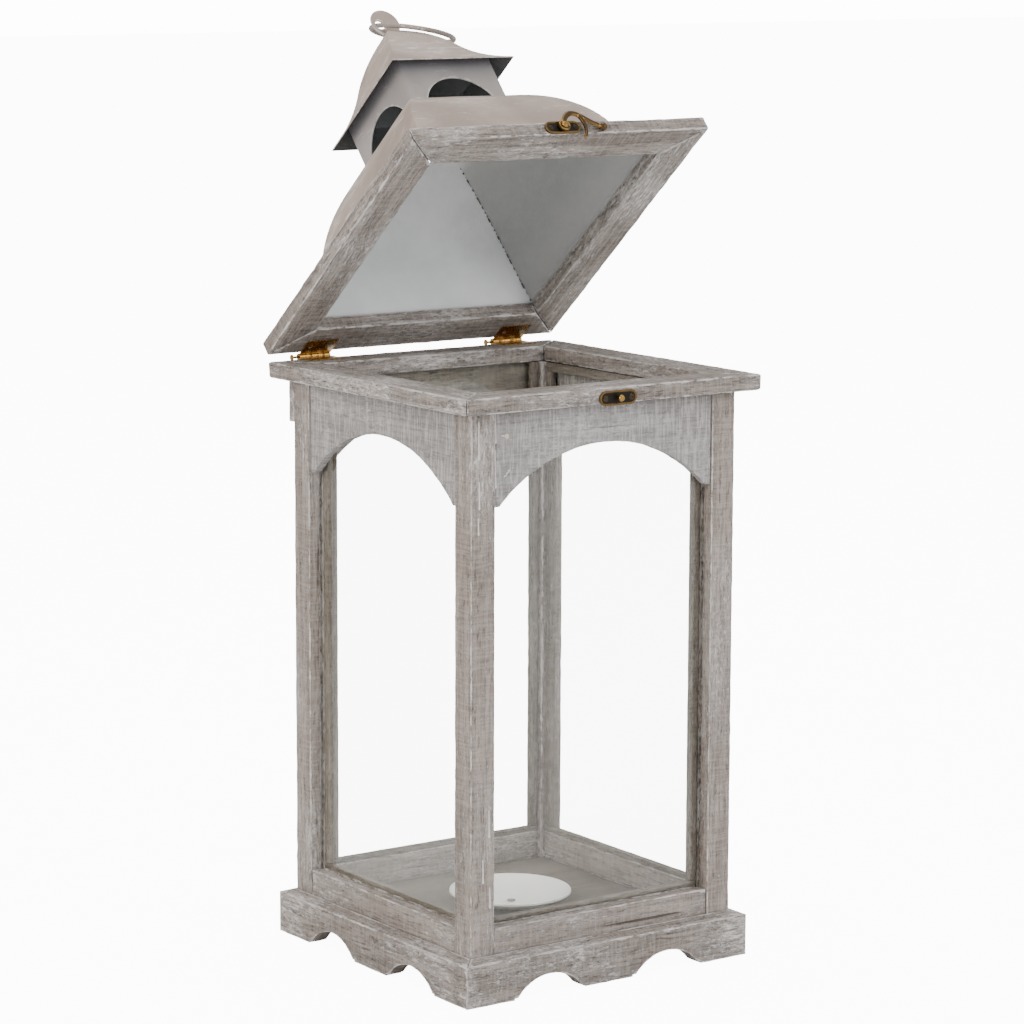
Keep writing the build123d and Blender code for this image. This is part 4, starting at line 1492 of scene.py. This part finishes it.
@dataclass
class Roof:
    """The sheet-metal roof, chimney, chimney cap, tab and the roof's nails."""

    finishes: Finishes
    sheet: float = 0.8
    flange: float = 95.5
    top: tuple[float, float] = (38.0, 87.3)
    knee: tuple[float, float] = (72.5, 40.4)
    foot: tuple[float, float] = (86.5, 10.0)
    shoulder: tuple[float, float] = (59.0, 67.0)
    flare: tuple[float, float] = (78.0, 24.3)
    flue: float = 31.0
    chimney: float = 37.0
    vent: float = 27.8
    vent_level: float = 75.4
    eave: tuple[float, float] = (47.0, 111.6)
    waist: tuple[float, float] = (26.5, 137.5)
    tip: tuple[float, float] = (5.0, 168.0)
    sweep: tuple[float, float] = (34.8, 123.9)
    spire: tuple[float, float] = (17.6, 153.6)
    tab_radius: float = 10.5
    tab_level: float = 177.7
    tab_hole: tuple[float, float, float] = (-5.3, 176.1, 3.5)
    nail_x: tuple[float, float, float] = (-70.0, 0.0, 70.0)
    nail_line: float = 91.2

    def ring_loop(self, name: str, half: float, corner: float, level: float,
                  cuts: int) -> Piece:
        """Start a square ring with rounded corners.

        Args:
            name: Object name.
            half: Half width.
            corner: Corner radius.
            level: Height over the lid's underside.
            cuts: Cuts along each straight side.

        Returns:
            The open ring.
        """
        deselect()
        bpy.ops.mesh.primitive_plane_add(size=2 * half * MM, location=(0, 0, (LID_LOW + level) * MM))
        ring = bpy.context.object
        ring.name = name
        settle(ring)
        with editing(ring, "VERT"):
            bpy.ops.mesh.select_all(action="SELECT")
            bpy.ops.mesh.delete(type="ONLY_FACE")
            bpy.ops.mesh.select_all(action="SELECT")
            bpy.ops.mesh.bevel(offset=corner * MM, segments=4, affect="VERTICES")
        pick(ring, "EDGE", lambda at, way: max(abs(way.x), abs(way.y)) > 0.999)
        with editing(ring, "EDGE"):
            bpy.ops.mesh.subdivide(number_cuts=cuts)
        return ring

    def close(self, obj: Piece, inside: float, thick: float, dent: float,
              lining: Material) -> None:
        """Turn a lofted skin into dented sheet metal with a lining.

        Args:
            obj: The skin.
            inside: Height over the lid's underside of a point inside it.
            thick: Thickness of the sheet.
            dent: Depth of its unevenness.
            lining: Finish of its inner face.
        """
        recalculate(obj, (0, 0, LID_LOW + inside))
        tree = corner_points(obj, 24)
        if dent:
            modify(obj, "DISPLACE", texture=noise_texture("dents", 34.0, 1), strength=-dent * MM,
                   mid_level=0.3, texture_coords="GLOBAL")
        dress(obj, self.finishes.sheet, lining)
        modify(obj, "SOLIDIFY", thickness=thick * MM, offset=-1.0, material_offset=1,
               use_even_offset=True)
        mark_edges(obj, tree, 1.5)

    def shell(self) -> Piece:
        """Model the roof: flange, flared foot, round shoulder and top sheet."""
        roof = self.ring_loop("painted_roof_shell", self.flange, 1.5, LID_HIGH - LID_LOW + 0.85, 14)
        line = [(87.6, 10.65), (86.6, 11.3)]
        line += arc_points((85.6, 12.6), self.flare, self.knee, 5)
        line += arc_points(self.knee, self.shoulder, self.top, 12)[1:]
        line += [(self.flue, self.top[1])]
        loft(roof, self.flange, LID_HIGH - LID_LOW + 0.85, line, LID_LOW)
        self.close(roof, 45.0, self.sheet, 0.5, self.finishes.lining)
        smooth(roof, 40)
        return roof

    def chimney_pipe(self) -> Piece:
        """Model the square chimney with an arched vent in each side."""
        pipe = self.ring_loop("painted_chimney", self.chimney, 4.0, self.top[1], 8)
        loft(pipe, self.chimney, self.top[1], [(self.chimney, 96.0), (self.chimney, 106.0),
                                               (self.chimney, 120.0)], LID_LOW)
        recalculate(pipe, (0, 0, LID_LOW + 100))
        dress(pipe, self.finishes.chimney, self.finishes.soot)
        modify(pipe, "SOLIDIFY", thickness=self.sheet * MM, offset=-1.0, material_offset=1)
        z = LID_LOW + self.vent_level
        combine(pipe, rod("vent", (0, -60, z), (0, 60, z), self.vent, 128))
        combine(pipe, rod("vent", (-60, 0, z), (60, 0, z), self.vent, 128))
        tree = corner_points(pipe, 40)
        lattice(pipe, (6.0, 6.0, 4.0))
        mark_edges(pipe, tree, 1.0)
        # Painted shade: store a weight that grows towards the cap's eave, by which the chimney darkens
        # into the eave's shade.
        start, end = LID_LOW + 90.0, LID_LOW + self.eave[1] + 2.0
        shares = [(v.co.z / MM - start) / (end - start) for v in pipe.data.vertices]
        values = [0.6 * min(1.0, max(0.0, share)) ** 3.5 for share in shares]
        pipe.data.attributes.new("gloom", "FLOAT", "POINT").data.foreach_set("value", values)
        smooth(pipe, 40)
        return pipe

    def cap(self) -> Piece:
        """Model the pointed chimney cap with flared eaves."""
        cap = self.ring_loop("painted_chimney_cap", self.eave[0], 0.8, self.eave[1], 8)
        line = arc_points(self.eave, self.sweep, self.waist, 7)[1:]
        line += arc_points(self.waist, self.spire, self.tip, 8)[1:]
        loft(cap, self.eave[0], self.eave[1], line, LID_LOW)
        with editing(cap, "EDGE"):
            bpy.ops.mesh.edge_face_add()
        self.close(cap, 125.0, self.sheet, 0.3, self.finishes.soot)
        smooth(cap, 40)
        return cap

    def tab(self) -> Piece:
        """Model the pierced round tab."""
        half, z, low = 0.6, LID_LOW + self.tab_level, LID_LOW + self.tip[1] - 0.1
        tab = rod("painted_ring_tab", (-0.5, -half, z), (-0.5, half, z), self.tab_radius, 64)
        combine(tab, cuboid("foot", (-6.0, -half + 0.01, low), (5.0, half - 0.01, z)), "UNION")
        x, level, radius = self.tab_hole
        hole = LID_LOW + level
        combine(tab, rod("hole", (x, -5, hole), (x, 5, hole), radius, 40))
        slice_off(tab, (0, 0, low), (0, 0, -1))
        lattice(tab, (1.5, 0, 1.5))
        with editing(tab):
            bpy.ops.mesh.select_all(action="SELECT")
            bpy.ops.mesh.remove_doubles(threshold=0.02 * MM)
            bpy.ops.mesh.dissolve_degenerate(threshold=0.02 * MM)
        tab.data.validate()
        return tab

    def nails(self) -> Piece:
        """Model three nails in each side of the flange."""
        heads = []
        top = LID_HIGH + self.sheet
        for side in Side:
            turn = Matrix.Rotation(math.radians(side.value), 4, "Z")
            for x in self.nail_x:
                spot = (x, -self.nail_line, top)
                nail = nail_head(f"roof nail {side.value} {x}", spot, (0, 0, 1), 1.8)
                heads.append(place(nail, turn))
        return join(heads, "dull_roof_nails")

    def seam(self) -> Piece:
        """Model the broken black line of sealer inside the hip between back and right."""
        line = arc_points(self.foot, self.flare, self.knee, 8)
        line += arc_points(self.knee, self.shoulder, self.top, 20)[1:]
        inset = self.sheet + 0.9
        dashes = []
        for i, ((a, low), (b, high)) in enumerate(zip(line, line[1:])):
            start = (a - inset, a - inset, LID_LOW + low)
            share = 0.25 + 0.6 * math.sin(i * 2.4) ** 2
            reach = (b - inset, b - inset, LID_LOW + high)
            end = tuple(p + (q - p) * share for p, q in zip(start, reach))
            dash = rod(f"dash {i}", start, end, 0.2 + 0.35 * math.cos(i * 1.7) ** 2, 10)
            dress(dash, self.finishes.soot)
            dashes.append(dash)
        return join(dashes, "seam")

    def build(self) -> None:
        """Build the roof and open it with the lid."""
        shell = join([self.shell(), self.seam()], "painted_roof_shell")
        for piece, node in ((shell, "roof_shell"), (self.chimney_pipe(), "chimney"),
                            (self.cap(), "chimney_cap")):
            place(piece, lid_turn())
            hide_nodes(piece, Body.lid, "painted_sheet", node)
        tab = place(self.tab(), lid_turn())
        finish_metal(tab, self.finishes.sheet, Body.lid, "painted_sheet", "ring_tab", arris=0.2)
        nails = place(self.nails(), lid_turn())
        finish_metal(nails, self.finishes.sheet, Body.lid, "screw_steel", "roof_nails")


@dataclass
class HangingRing:
    """The wire ring that lies over the chimney cap."""

    finishes: Finishes
    hole: Point = (-5.3, 0.0, LID_LOW + 176.1)
    to_centre: Point = (0.974, 0.187, -0.129)
    normal: Point = (0.214, -0.570, 0.793)
    radius: float = 27.3
    wire: float = 1.65

    def build(self) -> None:
        """Bend the ring, mark its butt joint and lay it in place."""
        deselect()
        bpy.ops.mesh.primitive_torus_add(major_radius=self.radius * MM, minor_radius=self.wire * MM,
                                         major_segments=144, minor_segments=20)
        ring = bpy.context.object
        ring.name = "painted_hanging_ring"
        joint = cuboid("joint", (self.radius * 0.9, -0.12, -0.4 - self.wire),
                       (self.radius * 1.1, 0.12, self.wire + 1))
        place(joint, Matrix.Rotation(math.radians(140), 4, "Z"))
        combine(ring, joint)
        out = Vector(self.to_centre).normalized()
        up = Vector(self.normal).normalized()
        centre = (Vector(self.hole) + out * self.radius) * MM
        turn = Matrix((out, up.cross(out), up)).transposed().to_4x4()
        place(ring, lid_turn() @ Matrix.Translation(centre) @ turn)
        mark_edges(ring, corner_points(ring, 40), 1.0)
        smooth(ring, 40)
        dress(ring, self.finishes.wire)
        hide_nodes(ring, Body.ring, "painted_wire", "hanging_ring")


# --- studio ---------------------------------------------------------------------------------
def seen(desk: Desk) -> Socket:
    """Tell rays that come straight from the eye, or through the glass, from the others."""
    path = desk.node("ShaderNodeLightPath")
    direct = desk.maths("MAXIMUM", path.outputs["Is Camera Ray"], path.outputs["Is Transmission Ray"])
    turns = desk.plus(path.outputs["Diffuse Depth"], path.outputs["Glossy Depth"])
    return desk.times(direct, desk.maths("LESS_THAN", turns, 0.5))


@dataclass
class Studio:
    """A pale floor, soft lamps and the camera."""

    eye: Point = (-1.3301, -1.8886, 0.6603)
    target: Point = (0.11117, 0.15753, 0.250)
    lens: float = 129.95
    roll: float = 0.19
    ambient: float = 1.0
    backdrop: float = 14.0
    floor_glow: float = 11.0

    def floor(self) -> None:
        """Lay a wide pale floor."""
        deselect()
        bpy.ops.mesh.primitive_plane_add(size=30, location=(0, 0, 0))
        floor = bpy.context.object
        floor.name = "pale_floor"
        desk = Desk("pale floor")
        desk.shader.inputs["Base Color"].default_value = (0.93, 0.93, 0.925, 1)
        desk.shader.inputs["Roughness"].default_value = 0.9
        desk.shader.inputs["Specular IOR Level"].default_value = 0.1
        desk.shader.inputs["Emission Color"].default_value = (1.0, 1.0, 1.0, 1)
        desk.set(Emission_Strength=desk.times(seen(desk), self.floor_glow))
        dress(floor, desk.material)

    def lamp(self, name: str, at: Point, size: float, power: float, colour: Colour) -> None:
        """Add a soft square lamp that faces the lantern."""
        data = bpy.data.lights.new(name, "AREA")
        data.shape = "SQUARE"
        data.size = size
        data.energy = power
        data.color = colour
        lamp = bpy.data.objects.new(name, data)
        bpy.context.scene.collection.objects.link(lamp)
        lamp.location = at
        aim = Vector((0, 0, 0.3)) - Vector(at)
        lamp.rotation_euler = aim.to_track_quat("-Z", "Y").to_euler()

    def build(self) -> None:
        """Set the floor, the lamps, the sky and the camera."""
        self.floor()
        self.lamp("front softbox", (0.9, -2.2, 1.5), 1.6, 38, (0.97, 0.975, 1.0))
        self.lamp("left softbox", (-2.2, -0.4, 1.3), 1.4, 34, (1.0, 0.92, 0.85))
        self.lamp("top softbox", (0.2, 0.6, 2.6), 1.6, 26, (1.0, 1.0, 1.0))
        world = bpy.data.worlds.new("studio")
        bpy.context.scene.world = world
        world.use_nodes = True
        tree = world.node_tree
        sky = tree.nodes["Background"]
        sky.inputs["Color"].default_value = (1.0, 1.0, 1.0, 1)
        path = tree.nodes.new("ShaderNodeLightPath")
        direct = tree.nodes.new("ShaderNodeMath")
        direct.operation = "MAXIMUM"
        tree.links.new(path.outputs["Is Camera Ray"], direct.inputs[0])
        tree.links.new(path.outputs["Is Transmission Ray"], direct.inputs[1])
        level = tree.nodes.new("ShaderNodeMapRange")
        level.inputs["To Min"].default_value = self.ambient
        level.inputs["To Max"].default_value = self.backdrop
        fresh = tree.nodes.new("ShaderNodeMath")
        fresh.operation = "LESS_THAN"
        fresh.inputs[1].default_value = 0.5
        turns = tree.nodes.new("ShaderNodeMath")
        tree.links.new(path.outputs["Diffuse Depth"], turns.inputs[0])
        tree.links.new(path.outputs["Glossy Depth"], turns.inputs[1])
        tree.links.new(turns.outputs[0], fresh.inputs[0])
        both = tree.nodes.new("ShaderNodeMath")
        both.operation = "MULTIPLY"
        tree.links.new(direct.outputs[0], both.inputs[0])
        tree.links.new(fresh.outputs[0], both.inputs[1])
        tree.links.new(both.outputs[0], level.inputs["Value"])
        tree.links.new(level.outputs["Result"], sky.inputs["Strength"])
        data = bpy.data.cameras.new("camera")
        data.lens = self.lens
        data.sensor_width = 36
        data.clip_end = 100
        camera = bpy.data.objects.new("camera", data)
        bpy.context.scene.collection.objects.link(camera)
        aim = Vector(self.target) - Vector(self.eye)
        look = aim.to_track_quat("-Z", "Y").to_matrix().to_4x4()
        roll = Matrix.Rotation(math.radians(self.roll), 4, "Z")
        camera.matrix_world = Matrix.Translation(Vector(self.eye)) @ look @ roll
        bpy.context.scene.camera = camera


@dataclass
class Marks:
    """Paint runs, a filled nail hole, a paint smear and raised paint ridges on the case's boards."""

    finishes: Finishes
    post_runs: tuple[tuple[float, float, float], ...] = (
        (-94.6, 358.0, 336.0), (-94.2, 322.0, 306.0), (-94.8, 300.0, 290.5), (-86.6, 120.0, 104.0),
        (-91.0, 90.0, 76.0), (-85.9, 72.0, 60.0))
    apron_front: float = 98.8
    joint_runs: tuple[tuple[float, float, float], ...] = ((-81.8, 362.0, 345.0), (-81.8, 340.0, 318.0))

    def run(self, x: float, high: float, low: float, y: float) -> Piece:
        """Model one run of paint down a front face, with its drop at the lower end."""
        line = rod("run", (x, y, high), (x + 0.2, y, low), 0.34, 12, 0.5)
        deselect()
        bpy.ops.mesh.primitive_uv_sphere_add(segments=14, ring_count=10, radius=0.75 * MM,
                                             location=(x * MM + 0.0002, y * MM, low * MM))
        drop = bpy.context.object
        drop.scale = (1.0, 0.7, 1.7)
        settle(drop)
        combine(line, drop, "UNION")
        smooth(line, 60)
        dress(line, self.finishes.paint)
        return line

    def add(self, board: str, pieces: Sequence[Piece]) -> None:
        """Lay small pieces onto a board."""
        join([bpy.data.objects[board], *pieces], board)

    def build(self) -> None:
        """Place the marks."""
        runs = [self.run(x, high, low, -BODY_HALF + 0.05) for x, high, low in self.post_runs]
        self.add("worn_post_front_left", runs)
        face = -self.apron_front
        marks = [self.run(x, high, low, face - 0.1) for x, high, low in self.joint_runs]
        plug = rod("plug", (-73.4, face + 1.0, 347.7), (-73.4, face - 0.25, 347.7), 1.9, 24, 1.5)
        smooth(plug, 60)
        dress(plug, self.finishes.filler)
        smear = rod("smear", (-77.5, face + 0.05, 348.6), (-75.2, face + 0.05, 347.9), 0.5, 10, 0.7)
        dress(smear, self.finishes.paint)
        ridges = []
        for x, z, long in ((-75.6, 323.2, 2.6), (-73.9, 325.0, 3.0), (-72.6, 326.6, 2.0)):
            ridge = rod("ridge", (x, face + 0.05, z), (x + long, face + 0.05, z + long / 2), 0.45,
                        10, 0.3)
            dress(ridge, self.finishes.paint)
            ridges.append(ridge)
        self.add("worn_apron_front", [*marks, plug, smear, *ridges])


def main() -> None:
    """Build the lantern and its studio in order."""
    logging.basicConfig(level=logging.INFO, format="%(message)s")
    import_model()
    finishes = Finishes()
    joiner = Joiner(finishes)
    Plinth(joiner).build()
    CaseFrame(joiner).build()
    Glazing(joiner, finishes).build()
    CandlePlate(finishes).build()
    Hinges(finishes).build()
    Latch(finishes).build()
    LidFrame(joiner).build()
    Roof(finishes).build()
    HangingRing(finishes).build()
    Marks(finishes).build()
    Studio().build()
    deselect()


if __name__ == "__main__":
    main()
